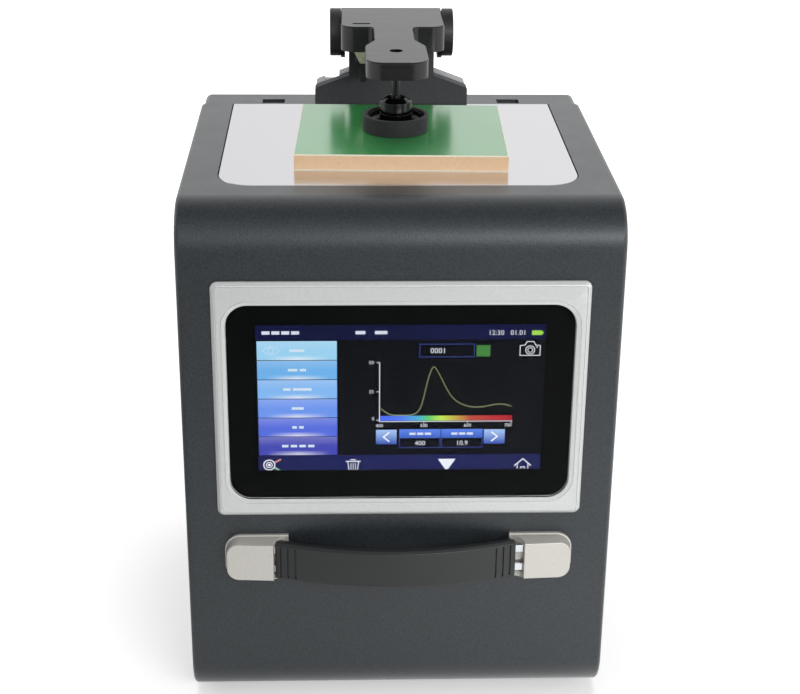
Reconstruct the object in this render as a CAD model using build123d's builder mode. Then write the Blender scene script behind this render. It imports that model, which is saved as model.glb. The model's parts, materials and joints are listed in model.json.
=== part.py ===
"""Benchtop colorimeter: port on top, spring clamp behind it, touch screen and carrying strap in front.

Millimetres, +Z up, front towards -Y. The origin lies on the standing plane, at the middle of the
overall width and depth. The measuring axis is vertical, at (0, port_y).
"""
from build123d import *
from math import asin, cos, degrees, radians, sin, sqrt, tan
import os

os.makedirs("parts", exist_ok=True)

# ---------------------------------------------------------------- driving dimensions
# housing
body_width = 236.0
body_height = 298.5
shell_depth = 205.0
cover_depth = 25.5
bend_radius = 24.0
edge_round = 2.5
wall = 3.5
cover_wall = 4.0
cover_inset = 1.2
foot_height = 4.0
rear_foot_height = 4.0
foot_radius = 9.0
slide_gap = 0.3          # loose fit between parts that slip together
screw_radius = 1.5
screw_head_radius = 2.9
screw_head_height = 2.0

# port plate and sample
port_setback = 117.0     # front face to the measuring axis
plate_width = 196.0
plate_front = 39.8       # front face to the plate's front edge
plate_corner = 20.0
plate_thickness = 2.0
plate_gap = 0.5
insert_radius = 22.0
aperture_radius = 4.0
board_width = 117.7
board_depth = 105.0
board_thickness = 9.0
board_turn = -1.6        # degrees about the vertical
board_offset_x = 3.1
board_offset_y = 1.0

# display
screen_height = 191.6    # centre of the display above the housing's underside
glass_width = 185.5
glass_height = 114.3
glass_drop = 2.35        # glass centre below the lit area's
bezel_side = 7.4         # bezel's bands round the glass
bezel_top = 12.9
bezel_bottom = 10.55
lip_width = 2.2          # bezel's shallow slope down to the glass
lip_depth = 0.35
bezel_width = glass_width + 2 * bezel_side
bezel_height = glass_height + bezel_top + bezel_bottom
bezel_raise = 3.0
bezel_corner = 4.0
bezel_chamfer = 1.8
glass_corner = 12.0
glass_thickness = 1.8
glass_sink = 0.4
ledge = 3.0              # bezel lip behind the glass
active_width = glass_width - 2 * 15.7      # lit area inside the glass's black border
active_height = glass_height - 2 * 14.2
panel_width = active_width + 2 * 5.45
panel_height = active_height + 2 * 7.05
panel_thickness = 5.0
frame_sheet = 1.2
frame_rim_x = 11.0       # pressed frame beyond the panel, to each side
frame_rim_z = 7.0
frame_rib = 14.0         # between its two windows
frame_window_width = (panel_width - frame_rib) / 2 - 17.5
frame_window_height = panel_height - 2 * 19.0

# strap handle
handle_height = 95.3     # centre of the strap above the housing's underside
handle_reach = 19.0      # strap's front at mid span
strap_end_reach = 7.0    # strap's front at its ends
strap_length = 133.9
strap_height = 23.4
strap_thickness = 4.4
strap_shift = -1.95      # the strap lies pushed to its left stop
strap_bevel = 1.5
groove_pitch = 4.3
groove_width = 1.0
groove_depth = 0.9
base_inner = 61.5
base_outer = 96.8
base_half_height = 13.7
base_thickness = 2.2
base_corner = 9.0
cap_inner = 69.5
cap_outer = 95.5
cap_inner_reach = 9.7
cap_outer_reach = 8.2
cap_half_height = 11.0
cap_step = 0.6
stud_radius = 3.5
stud_places = (73.0, 81.0)
band_half_height = 8.0
band_thickness = 1.0

# clamp
bracket_half_width = 47.3
bracket_shoulder = 10.3  # above the housing's top
bracket_crest = 18.0
bracket_depth = 9.0
post_half_width = 26.2
post_depth = 18.0
pivot_setback = 11.0     # behind the parting line
pivot_height = 42.8      # above the housing's top
pin_radius = 4.0
running_gap = 0.04
lug_gap_half = 12.0      # half of the slot between the two lugs
arm_height = 54.6        # arm's top above the housing's top
arm_thickness = 10.0
ear_thickness = 15.3
ear_half_width = 31.2
ear_wall = 2.6
arm_skin = 4.0
arm_tail = 16.0          # arm's rear edge behind the pivot
ear_front = 39.0         # ear's front edge ahead of the pivot
lobe_reach = 28.6        # lobe's front edge ahead of the measuring axis
lobe_half_width = 17.4
neck_half_width = 11.8
cover_radius = 14.5
pin_cover_thickness = 6.7
stop_width = 4.0

# press foot
shaft_radius = 2.4
bush_radius = 3.8
ring_radius = 18.8
ring_wall = 2.5
ring_height = 9.3
ring_lip = 1.0
cup_wall = 1.3
cup_floor = 2.8
hub_radius = 9.1
hub_neck_radius = 7.5
hub_cap_height = 8.6
hub_cone = 2.5           # height of the cap's cone
hub_crown_radius = 4.9   # flat round the shaft
hub_groove = 0.5         # between the cap and the cup's boss
hub_height = 19.3        # press ring's underside to the hub's top
press_travel = 3.0
spring_wire = 0.7
spring_solid = 5.0       # press spring's length when the foot is pushed right up

# optics and electronics
sphere_radius = 30.0
sphere_wall = 3.0
battery_length = 110.0
battery_depth = 70.0
battery_height = 22.0
sphere_drop = 34.0       # port plate's underside to the sphere's centre
port_bore = 13.0
sheet = 2.0
chassis_half_width = 70.0
chassis_depth = 90.0
spectrometer_drop = 95.0  # sphere's centre to the spectrometer's underside
view_tilt = 8.0           # degrees between viewing axis and the vertical

# ---------------------------------------------------------------- places worked out from them
overall_depth = handle_reach + shell_depth + cover_depth + rear_foot_height
front_y = handle_reach - overall_depth / 2
part_y = front_y + shell_depth
rear_y = part_y + cover_depth
bottom_z = foot_height
top_z = bottom_z + body_height
mid_z = (bottom_z + top_z) / 2
port_y = front_y + port_setback
plate_under = top_z - plate_thickness
screen_z = bottom_z + screen_height
glass_z = screen_z - glass_drop
bezel_z = glass_z + (bezel_top - bezel_bottom) / 2
strap_z = bottom_z + handle_height
pivot_y = part_y + pivot_setback
pivot_z = top_z + pivot_height
arm_top = top_z + arm_height
arm_under = arm_top - arm_thickness
ear_under = arm_top - ear_thickness
foot_z = top_z + board_thickness
sphere_z = plate_under - sphere_drop
inner_half_width = body_width / 2 - wall
floor_z = bottom_z + wall


def at_y(y):
    """Vertical plane facing the front, at depth y: local x is X and local y is Z."""
    return Plane.XZ.offset(-y)


def at_z(z):
    """Horizontal plane at height z."""
    return Plane.XY.offset(z)


# ---------------------------------------------------------------- main shell
lip_length = 4.0
boss_radius = 6.5
pillar_radius = 4.5
pillar_inset = 0.8       # pillars stand this far inside the lip's outer faces
boss_length = 22.0
fixing_x = inner_half_width - slide_gap - pillar_inset - pillar_radius
fixing_top = top_z - wall - slide_gap - pillar_inset - pillar_radius
fixing_bottom = bottom_z + cover_inset + cover_wall + pillar_radius - 1
fixings = [(side * fixing_x, z) for side in (-1, 1) for z in (fixing_bottom, mid_z, fixing_top)]
window_gap = 1.5
base_feet_y = (front_y + bend_radius + foot_radius + 8, part_y - foot_radius - 14)
base_feet_x = body_width / 2 - 28


def wrap_outline(inset):
    """Side profile of the bent housing, moved inwards by inset and open at the parting line."""
    with BuildSketch(Plane.YZ) as outline:
        with Locations(((front_y + inset + part_y) / 2, mid_z)):
            Rectangle(shell_depth - inset, body_height - 2 * inset)
        fillet(outline.vertices().group_by(Axis.X)[0], bend_radius - inset)
    return outline.sketch


def plate_outline(gap):
    """The port plate seen from above, grown by gap; its rear edge runs to the parting line."""
    with BuildSketch() as outline:
        with Locations((0, (front_y + plate_front - gap + part_y) / 2)):
            Rectangle(plate_width + 2 * gap, shell_depth - plate_front + gap)
        fillet(outline.vertices().group_by(Axis.Y)[0], plate_corner + gap)
    return outline.sketch


with BuildPart() as main_shell:
    extrude(wrap_outline(0), amount=body_width / 2, both=True)
    rims = main_shell.faces().filter_by(Axis.X).edges()
    fillet(rims.filter_by(lambda rim: rim.center().Y < part_y - 1), edge_round)
    extrude(wrap_outline(wall), amount=inner_half_width, both=True, mode=Mode.SUBTRACT)
    with BuildSketch(at_y(part_y - lip_length)):
        with Locations(*fixings):
            Circle(boss_radius)
    extrude(amount=boss_length)
    with BuildSketch(at_y(part_y - lip_length)):
        with Locations(*fixings):
            Circle(screw_radius)
    extrude(amount=boss_length * 0.7, mode=Mode.SUBTRACT)
    extrude(at_z(plate_under) * plate_outline(plate_gap), amount=plate_thickness, mode=Mode.SUBTRACT)
    with BuildSketch(at_z(top_z)):
        with Locations((0, port_y)):
            Circle(insert_radius + 6)
    extrude(amount=-2 * wall, mode=Mode.SUBTRACT)
    with BuildSketch(at_y(front_y)):
        with Locations((0, screen_z)):
            RectangleRounded(panel_width + 2 * window_gap, panel_height + 2 * window_gap, 2)
    extrude(amount=-2 * wall, mode=Mode.SUBTRACT)
    with BuildSketch(at_y(front_y)):
        with Locations(*[(side * x, strap_z) for side in (-1, 1) for x in stud_places]):
            Circle(screw_radius + slide_gap)
    extrude(amount=-2 * wall, mode=Mode.SUBTRACT)
main_shell.part.label = "main_shell"
export_step(main_shell.part, "parts/main_shell.step")

with BuildPart() as base_feet:
    with BuildSketch(at_z(bottom_z)):
        with Locations(*[(side * base_feet_x, y) for side in (-1, 1) for y in base_feet_y]):
            Circle(foot_radius)
    extrude(amount=-foot_height, taper=6)
    fillet(base_feet.edges().group_by(Axis.Z)[0], 0.8)
base_feet.part.label = "base_feet"
export_step(base_feet.part, "parts/base_feet.step")

# ---------------------------------------------------------------- rear cover
cover_half_width = body_width / 2 - cover_inset
cover_height = body_height - cover_inset
cover_mid = top_z - cover_height / 2
cover_corner = 4.0
counterbore_depth = 4.0
slot_x = 73.4
slot_width = 13.8
slot_depth = 9.0
slot_setback = 2.0
panel_z = bottom_z + 44
socket_window_width = 108.0
socket_window_height = 30.0
socket_panel_sheet = 2.5
rear_feet_x = body_width / 2 - 26
rear_feet_z = (bottom_z + 24, top_z - 30)
backing_thickness = 3.0
backing_depth = 16.0
cable_notch_width = 9.0
cable_notch_depth = 7.0
bracket_screw_y = part_y + 6.6
rear_screw_y = part_y + 15.5
outer_screw_x = bracket_half_width - 9.3
inner_screw_x = post_half_width - 8.2
front_screws_at = [(side * x, bracket_screw_y) for side in (-1, 1) for x in (inner_screw_x, outer_screw_x)]
rear_screws_at = [(side * outer_screw_x, rear_screw_y) for side in (-1, 1)]
bracket_screws_at = front_screws_at + rear_screws_at

with BuildPart() as rear_cover:
    with BuildSketch(at_y(part_y)):
        with Locations((0, cover_mid)):
            RectangleRounded(2 * cover_half_width, cover_height, cover_corner)
    extrude(amount=-cover_depth)
    fillet(rear_cover.faces().sort_by(Axis.Y)[-1].edges(), 3)
    with BuildSketch(at_y(part_y)):
        with Locations((0, cover_mid)):
            Rectangle(2 * (cover_half_width - cover_wall), cover_height - 2 * cover_wall)
    extrude(amount=-(cover_depth - cover_wall), mode=Mode.SUBTRACT)
    # locating lip that slips into the shell
    with BuildSketch(at_y(part_y - lip_length)):
        with Locations((0, mid_z)):
            Rectangle(2 * (inner_half_width - slide_gap), body_height - 2 * wall - 2 * slide_gap)
            Rectangle(2 * (inner_half_width - slide_gap) - 5, body_height - 2 * wall - 2 * slide_gap - 5,
                      mode=Mode.SUBTRACT)
    extrude(amount=-2 * lip_length)
    with BuildSketch(at_y(part_y - lip_length)):
        with Locations(*fixings):
            Circle(pillar_radius)
    extrude(amount=-(lip_length + cover_depth - cover_wall))
    with BuildSketch(at_y(part_y - lip_length)):
        with Locations(*fixings):
            Circle(screw_radius + slide_gap)
    extrude(amount=-(lip_length + cover_depth), mode=Mode.SUBTRACT)
    with BuildSketch(at_y(rear_y)):
        with Locations(*fixings):
            Circle(screw_head_radius + slide_gap)
    extrude(amount=counterbore_depth, mode=Mode.SUBTRACT)
    with BuildSketch(at_z(top_z)):
        with Locations((-slot_x, part_y + slot_setback + slot_depth / 2),
                       (slot_x, part_y + slot_setback + slot_depth / 2)):
            Rectangle(slot_width, slot_depth)
    extrude(amount=-1.6, mode=Mode.SUBTRACT)
    with BuildSketch(at_z(top_z)):
        with Locations(*bracket_screws_at):
            Circle(screw_radius + slide_gap)
    extrude(amount=-2 * cover_wall, mode=Mode.SUBTRACT)
    with BuildSketch(at_y(rear_y)):
        with Locations((0, panel_z)):
            RectangleRounded(socket_window_width, socket_window_height, 3)
    extrude(amount=2 * cover_wall, mode=Mode.SUBTRACT)
rear_cover.part.label = "rear_cover"
export_step(rear_cover.part, "parts/rear_cover.step")

with BuildPart() as cover_screws:
    head_y = rear_y - counterbore_depth
    with BuildSketch(at_y(head_y)):
        with Locations(*fixings):
            Circle(screw_head_radius)
    extrude(amount=-screw_head_height)
    with BuildSketch(at_y(head_y)):
        with Locations(*fixings):
            Circle(screw_radius)
    extrude(amount=head_y - part_y + lip_length + boss_length * 0.5)
    with BuildSketch(at_y(head_y + screw_head_height)):
        with Locations(*fixings):
            RegularPolygon(1.3, 6)
    extrude(amount=1.2, mode=Mode.SUBTRACT)
cover_screws.part.label = "cover_screws"
export_step(cover_screws.part, "parts/cover_screws.step")

with BuildPart() as rear_feet:
    with BuildSketch(at_y(rear_y)):
        with Locations(*[(side * rear_feet_x, z) for side in (-1, 1) for z in rear_feet_z]):
            Circle(foot_radius)
    extrude(amount=-rear_foot_height, taper=6)
    fillet(rear_feet.edges().group_by(Axis.Y)[-1], 0.8)
rear_feet.part.label = "rear_feet"
export_step(rear_feet.part, "parts/rear_feet.step")

# ---------------------------------------------------------------- sockets and switch in the rear cover
socket_y = rear_y - cover_wall           # panel's outer face
dc_x = 42.0
usb_x = 18.0
serial_x = -8.0
switch_x = -42.0
switch_width = 13.0
switch_height = 19.0
rocker_width = 10.4
rocker_height = 16.4
rocker_tilt = 9.0
dc_radius = 5.5
dc_flange = 1.2
dc_length = 12.0
dc_bore = 3.2
dc_pin = 1.0
usb_width = 12.5
usb_height = 11.0
usb_mouth_width = 8.6
usb_mouth_height = 7.8
usb_length = 13.0
usb_tongue_width = 5.6
usb_tongue_height = 3.2
usb_stand = 0.8
serial_pitch = 2.77
serial_row = 1.4
serial_pin = 0.5
serial_corner = 2.5
switch_flange = 1.5
serial_half_width = 9.5
serial_half_height = 5.2


with BuildPart() as socket_panel:
    with BuildSketch(at_y(socket_y)):
        with Locations((0, panel_z)):
            RectangleRounded(socket_window_width + 10, socket_window_height + 8, 2)
        with Locations((dc_x, panel_z)):
            Circle(dc_radius, mode=Mode.SUBTRACT)
        with Locations((usb_x, panel_z)):
            Rectangle(usb_width, usb_height, mode=Mode.SUBTRACT)
        with Locations((serial_x, panel_z)):
            RectangleRounded(2 * serial_half_width, 2 * serial_half_height, serial_corner,
                             mode=Mode.SUBTRACT)
        with Locations((switch_x, panel_z)):
            Rectangle(switch_width, switch_height, mode=Mode.SUBTRACT)
    extrude(amount=socket_panel_sheet)
socket_panel.part.label = "socket_panel"
export_step(socket_panel.part, "parts/socket_panel.step")

with BuildPart() as dc_jack:
    with BuildSketch(at_y(socket_y + dc_flange)):
        with Locations((dc_x, panel_z)):
            Circle(dc_radius + dc_flange)
    extrude(amount=dc_flange)
    with BuildSketch(at_y(socket_y)):
        with Locations((dc_x, panel_z)):
            Circle(dc_radius)
    extrude(amount=dc_length)
    with BuildSketch(at_y(socket_y + dc_flange)):
        with Locations((dc_x, panel_z)):
            Circle(dc_bore)
            Circle(dc_pin, mode=Mode.SUBTRACT)
    extrude(amount=dc_length - 2, mode=Mode.SUBTRACT)
dc_jack.part.label = "dc_jack"
export_step(dc_jack.part, "parts/dc_jack.step")

with BuildPart() as usb_socket:
    usb_end = socket_y + usb_stand - usb_length
    with BuildSketch(at_y(socket_y + usb_stand)):
        with Locations((usb_x, panel_z)):
            Rectangle(usb_width, usb_height)
            Rectangle(usb_mouth_width, usb_mouth_height, mode=Mode.SUBTRACT)
    extrude(amount=usb_length)
    with BuildSketch(at_y(usb_end)):
        with Locations((usb_x, panel_z)):
            Rectangle(usb_width, usb_height)
    extrude(amount=1)
    with BuildSketch(at_y(usb_end)):
        with Locations((usb_x, panel_z)):
            Rectangle(usb_tongue_width, usb_tongue_height)
    extrude(amount=-(usb_length - 4))
usb_socket.part.label = "usb_socket"
export_step(usb_socket.part, "parts/usb_socket.step")

with BuildPart() as serial_socket:
    with BuildSketch(at_y(socket_y)):
        with Locations((serial_x, panel_z)):
            RectangleRounded(2 * serial_half_width, 2 * serial_half_height, serial_corner)
    extrude(amount=10)
    with BuildSketch(at_y(socket_y + 1)):
        with Locations((serial_x, panel_z)):
            RectangleRounded(2 * serial_half_width + 12, 2 * serial_half_height + 2, 1)
    extrude(amount=1)
    with BuildSketch(at_y(socket_y + 1)):
        with Locations((serial_x, panel_z)):
            RectangleRounded(2 * serial_half_width - 2, 2 * serial_half_height - 2, 2)
    extrude(amount=6, mode=Mode.SUBTRACT)
    with BuildSketch(at_y(socket_y - 5)):
        for row, count in ((serial_row, 5), (-serial_row, 4)):
            with Locations((serial_x, panel_z + row)):
                with GridLocations(serial_pitch, 1, count, 1):
                    Circle(serial_pin)
    extrude(amount=-5)
serial_socket.part.label = "serial_socket"
export_step(serial_socket.part, "parts/serial_socket.step")

with BuildPart() as switch_frame:
    with BuildSketch(at_y(socket_y + switch_flange)):
        with Locations((switch_x, panel_z)):
            RectangleRounded(switch_width + 2 * switch_flange, switch_height + 2 * switch_flange, 1)
    extrude(amount=switch_flange)
    with BuildSketch(at_y(socket_y)):
        with Locations((switch_x, panel_z)):
            Rectangle(switch_width, switch_height)
    extrude(amount=14)
    with BuildSketch(at_y(socket_y + switch_flange)):
        with Locations((switch_x, panel_z)):
            Rectangle(rocker_width + 0.6, rocker_height + 1.2)
    extrude(amount=10, mode=Mode.SUBTRACT)
switch_frame.part.label = "switch_frame"
export_step(switch_frame.part, "parts/switch_frame.step")

# rocker: two flats that meet at a shallow angle, tipped to its off position about its pivot
rocker_pivot_y = socket_y - 3.0
with BuildPart() as switch_rocker:
    with BuildSketch(Plane.YZ.offset(switch_x - rocker_width / 2)):
        with BuildLine():
            Polyline((rocker_pivot_y + 5.2, panel_z - rocker_height / 2 + 1.4),
                     (rocker_pivot_y + 3.6, panel_z),
                     (rocker_pivot_y + 5.2, panel_z + rocker_height / 2 - 1.4),
                     (rocker_pivot_y - 2.5, panel_z + 4.0),
                     (rocker_pivot_y - 2.5, panel_z - 4.0), close=True)
        make_face()
    extrude(amount=rocker_width)
rocker_axis = Axis((0, rocker_pivot_y, panel_z), (1, 0, 0))
switch_rocker.part = switch_rocker.part.rotate(rocker_axis, rocker_tilt)
switch_rocker.part.label = "switch_rocker"
export_step(switch_rocker.part, "parts/switch_rocker.step")

# ---------------------------------------------------------------- port plate, insert and sample
with BuildPart() as port_plate:
    extrude(at_z(plate_under) * plate_outline(0), amount=plate_thickness)
    chamfer(port_plate.faces().sort_by(Axis.Z)[-1].edges().filter_by(
        lambda rim: rim.center().Y < part_y - 1), 0.3)
    with BuildSketch(at_z(top_z)):
        with Locations((0, port_y)):
            Circle(insert_radius + 0.1)
    extrude(amount=-plate_thickness, mode=Mode.SUBTRACT)
port_plate.part.label = "port_plate"
export_step(port_plate.part, "parts/port_plate.step")

insert_spigot = 4.0
with BuildPart() as aperture_insert:
    with Locations((0, port_y, plate_under)):
        Cylinder(insert_radius, plate_thickness - 0.1, align=(Align.CENTER, Align.CENTER, Align.MIN))
        Cylinder(port_bore - 0.15, insert_spigot, align=(Align.CENTER, Align.CENTER, Align.MAX))
    with Locations((0, port_y, plate_under + plate_thickness - 1.1)):
        Cone(port_bore - 2, aperture_radius, insert_spigot + plate_thickness - 1.1,
             align=(Align.CENTER, Align.CENTER, Align.MAX), mode=Mode.SUBTRACT)
        Cylinder(aperture_radius, plate_thickness, align=(Align.CENTER, Align.CENTER, Align.MIN),
                 mode=Mode.SUBTRACT)
    # two finger dimples for turning the insert out of its bayonet
    with BuildSketch(at_z(top_z - 0.1)):
        with Locations((0, port_y)):
            with PolarLocations(insert_radius - 6, 2):
                Circle(2.2)
    extrude(amount=-1, mode=Mode.SUBTRACT)
aperture_insert.part.label = "aperture_insert"
export_step(aperture_insert.part, "parts/aperture_insert.step")

board_place = Plane(origin=(board_offset_x, port_y + board_offset_y, top_z),
                    x_dir=(cos(radians(board_turn)), sin(radians(board_turn)), 0))
with BuildPart() as sample_board:
    with BuildSketch(board_place):
        Rectangle(board_width, board_depth)
    extrude(amount=board_thickness)
    chamfer(sample_board.faces().sort_by(Axis.Z)[-1].edges(), 0.4)
sample_board.part.label = "sample_board"
export_step(sample_board.part, "parts/sample_board.step")

# ---------------------------------------------------------------- display
glass_front = front_y - bezel_raise + glass_sink
glass_back = glass_front + glass_thickness
glass_gap = 0.1
with BuildPart() as screen_bezel:
    with BuildSketch(at_y(front_y)):
        with Locations((0, bezel_z)):
            RectangleRounded(bezel_width, bezel_height, bezel_corner)
    extrude(amount=bezel_raise)
    chamfer(screen_bezel.faces().sort_by(Axis.Y)[0].edges(), bezel_chamfer)
    # sloped lip round the glass
    for depth, spread in ((0, lip_width), (lip_depth, 0)):
        with BuildSketch(at_y(front_y - bezel_raise + depth)):
            with Locations((0, glass_z)):
                RectangleRounded(glass_width + 2 * spread, glass_height + 2 * spread,
                                 glass_corner + spread)
    loft(mode=Mode.SUBTRACT)
    with BuildSketch(at_y(front_y)):
        with Locations((0, glass_z)):
            RectangleRounded(glass_width - 2 * ledge, glass_height - 2 * ledge, glass_corner - ledge)
    extrude(amount=bezel_raise, mode=Mode.SUBTRACT)
    with BuildSketch(at_y(glass_back)):
        with Locations((0, glass_z)):
            RectangleRounded(glass_width + 2 * glass_gap, glass_height + 2 * glass_gap, glass_corner)
    extrude(amount=bezel_raise, mode=Mode.SUBTRACT)
screen_bezel.part.label = "screen_bezel"
export_step(screen_bezel.part, "parts/screen_bezel.step")

with BuildPart() as touch_glass:
    with BuildSketch(at_y(glass_back)):
        with Locations((0, glass_z)):
            RectangleRounded(glass_width, glass_height, glass_corner)
    extrude(amount=glass_thickness)
touch_glass.part.label = "touch_glass"
export_step(touch_glass.part, "parts/touch_glass.step")

with BuildPart() as display_gasket:
    with BuildSketch(at_y(front_y)):
        with Locations((0, screen_z)):
            RectangleRounded(panel_width, panel_height, 1)
            Rectangle(active_width + 3, active_height + 3, mode=Mode.SUBTRACT)
    extrude(amount=front_y - glass_back)
display_gasket.part.label = "display_gasket"
export_step(display_gasket.part, "parts/display_gasket.step")

with BuildPart() as display_panel:
    with BuildSketch(at_y(front_y)):
        with Locations((0, screen_z)):
            Rectangle(panel_width, panel_height)
    extrude(amount=-panel_thickness)
    with BuildSketch(at_y(front_y)):
        with Locations((0, screen_z)):
            Rectangle(active_width, active_height)
    extrude(amount=-0.3, mode=Mode.SUBTRACT)
display_panel.part.label = "display_panel"
export_step(display_panel.part, "parts/display_panel.step")

# pressed frame that holds the panel against the gasket, its rim on the inside of the front wall
with BuildPart() as display_frame:
    with BuildSketch(at_y(front_y + wall)):
        with Locations((0, screen_z)):
            Rectangle(panel_width + 2 * frame_rim_x, panel_height + 2 * frame_rim_z)
    extrude(amount=-(panel_thickness - wall + frame_sheet))
    with BuildSketch(at_y(front_y + wall)):
        with Locations((0, screen_z)):
            Rectangle(panel_width + 2 * (frame_rim_x - frame_sheet),
                      panel_height + 2 * (frame_rim_z - frame_sheet))
    extrude(amount=-(panel_thickness - wall), mode=Mode.SUBTRACT)
    with BuildSketch(at_y(front_y + wall)):
        with Locations((0, screen_z)):
            with GridLocations(frame_window_width + frame_rib, 1, 2, 1):
                RectangleRounded(frame_window_width, frame_window_height, 4)
    extrude(amount=-(panel_thickness - wall + frame_sheet), mode=Mode.SUBTRACT)
display_frame.part.label = "display_frame"
export_step(display_frame.part, "parts/display_frame.step")

# ---------------------------------------------------------------- strap handle
cove_radius = 7.8
cove_x = cap_inner + 0.3 - cove_radius
cap_root = cove_x + 1.5         # where the cap grows out of its base
cove_reach = base_thickness + cove_radius      # cove's axis in front of the housing's face
strap_half = strap_length / 2
strap_sag = handle_reach - strap_end_reach
strap_radius = (strap_half ** 2 + strap_sag ** 2) / (2 * strap_sag)
strap_centre_y = front_y - handle_reach + strap_radius
strap_slope = asin(strap_half / strap_radius)
band_end_reach = strap_end_reach - strap_thickness / 2 / cos(strap_slope)
band_gap = 0.8                 # round the band, under the cap
band_room = 5.2                # depth of that room
stud_height = 4.4
band_stop = stud_places[1] + stud_radius - strap_shift + 0.15
band_end = band_stop + 2.0


def handle_base(side):
    """Die-cast base: a flange with a rounded outer end and two studs that hold the spring band."""
    with BuildPart() as base:
        with BuildSketch(at_y(front_y)):
            with Locations(((base_inner + base_outer) / 2, strap_z)):
                Rectangle(base_outer - base_inner, 2 * base_half_height)
            fillet(vertices().group_by(Axis.X)[-1], base_corner)
        extrude(amount=base_thickness)
        chamfer(base.faces().sort_by(Axis.Y)[0].edges().group_by(Axis.X)[1:], 0.4)
        with BuildSketch(at_y(front_y - base_thickness)):
            with Locations(*[(x, strap_z) for x in stud_places]):
                Circle(stud_radius)
        extrude(amount=stud_height)
        with BuildSketch(at_y(front_y)):
            with Locations(*[(x, strap_z) for x in stud_places]):
                Circle(screw_radius)
        extrude(amount=base_thickness + 3, mode=Mode.SUBTRACT)
        if side < 0:
            mirror(about=Plane.YZ, mode=Mode.REPLACE)
    return base


def handle_cap(side):
    """Drafted cap over a base, scooped out where the strap enters."""
    run = cap_outer - cap_inner
    fall = cap_inner_reach - cap_outer_reach
    face_centre = ((cap_inner + cap_outer) / 2, front_y - (cap_inner_reach + cap_outer_reach) / 2, strap_z)
    face_place = Plane(origin=face_centre, x_dir=(run, fall, 0), z_dir=(fall, -run, 0))
    with BuildPart() as cap:
        with BuildSketch(at_y(front_y - base_thickness)):
            with Locations(((cap_root + base_outer - cap_step) / 2, strap_z)):
                Rectangle(base_outer - cap_step - cap_root, 2 * (base_half_height - cap_step))
            fillet(vertices().group_by(Axis.X)[-1], base_corner - cap_step)
        with BuildSketch(face_place):
            Rectangle(sqrt(run ** 2 + fall ** 2), 2 * cap_half_height)
            fillet(vertices().group_by(Axis.X)[-1], base_corner - 2.5)
        loft()
        fillet(cap.faces().sort_by(Axis.Y)[0].edges().group_by(Axis.X)[1:], 0.5)
        with BuildSketch(at_z(strap_z)):
            with Locations((cove_x, front_y - cove_reach)):
                Circle(cove_radius)
        extrude(amount=2 * base_half_height, both=True, mode=Mode.SUBTRACT)
        # room for the studs and the band's end
        room_end = band_end - strap_shift + band_gap
        with BuildSketch(at_y(front_y - base_thickness)):
            with Locations(((base_inner + room_end) / 2, strap_z)):
                Rectangle(room_end - base_inner, 2 * (band_half_height + band_gap))
        extrude(amount=band_room, mode=Mode.SUBTRACT)
        if side < 0:
            mirror(about=Plane.YZ, mode=Mode.REPLACE)
    return cap


handle_base_left = handle_base(-1)
handle_base_left.part.label = "handle_base_left"
export_step(handle_base_left.part, "parts/handle_base_left.step")
handle_base_right = handle_base(1)
handle_base_right.part.label = "handle_base_right"
export_step(handle_base_right.part, "parts/handle_base_right.step")
handle_cap_left = handle_cap(-1)
handle_cap_left.part.label = "handle_cap_left"
export_step(handle_cap_left.part, "parts/handle_cap_left.step")
handle_cap_right = handle_cap(1)
handle_cap_right.part.label = "handle_cap_right"
export_step(handle_cap_right.part, "parts/handle_cap_right.step")

with BuildPart() as handle_screws:
    screws_at = [(side * x, strap_z) for side in (-1, 1) for x in stud_places]
    with BuildSketch(at_y(front_y + wall)):
        with Locations(*screws_at):
            Circle(screw_head_radius)
    extrude(amount=-screw_head_height)
    with BuildSketch(at_y(front_y + wall)):
        with Locations(*screws_at):
            Circle(screw_radius)
    extrude(amount=wall + base_thickness + 2)
handle_screws.part.label = "handle_screws"
export_step(handle_screws.part, "parts/handle_screws.step")


def strap_layer(depth, thickness):
    """Bowed layer of the strap seen from above, depth behind its front face."""
    outer = strap_radius - depth
    inner = outer - thickness
    with BuildSketch() as layer:
        with Locations((strap_shift, strap_centre_y)):
            Circle(outer)
            Circle(inner, mode=Mode.SUBTRACT)
        with Locations((strap_shift, front_y - handle_reach)):
            Rectangle(strap_length, 6 * strap_sag, mode=Mode.INTERSECT)
        with Locations((strap_shift, strap_centre_y + strap_radius)):
            Rectangle(3 * strap_radius, 2 * strap_radius, mode=Mode.SUBTRACT)
    return layer.sketch


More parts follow.
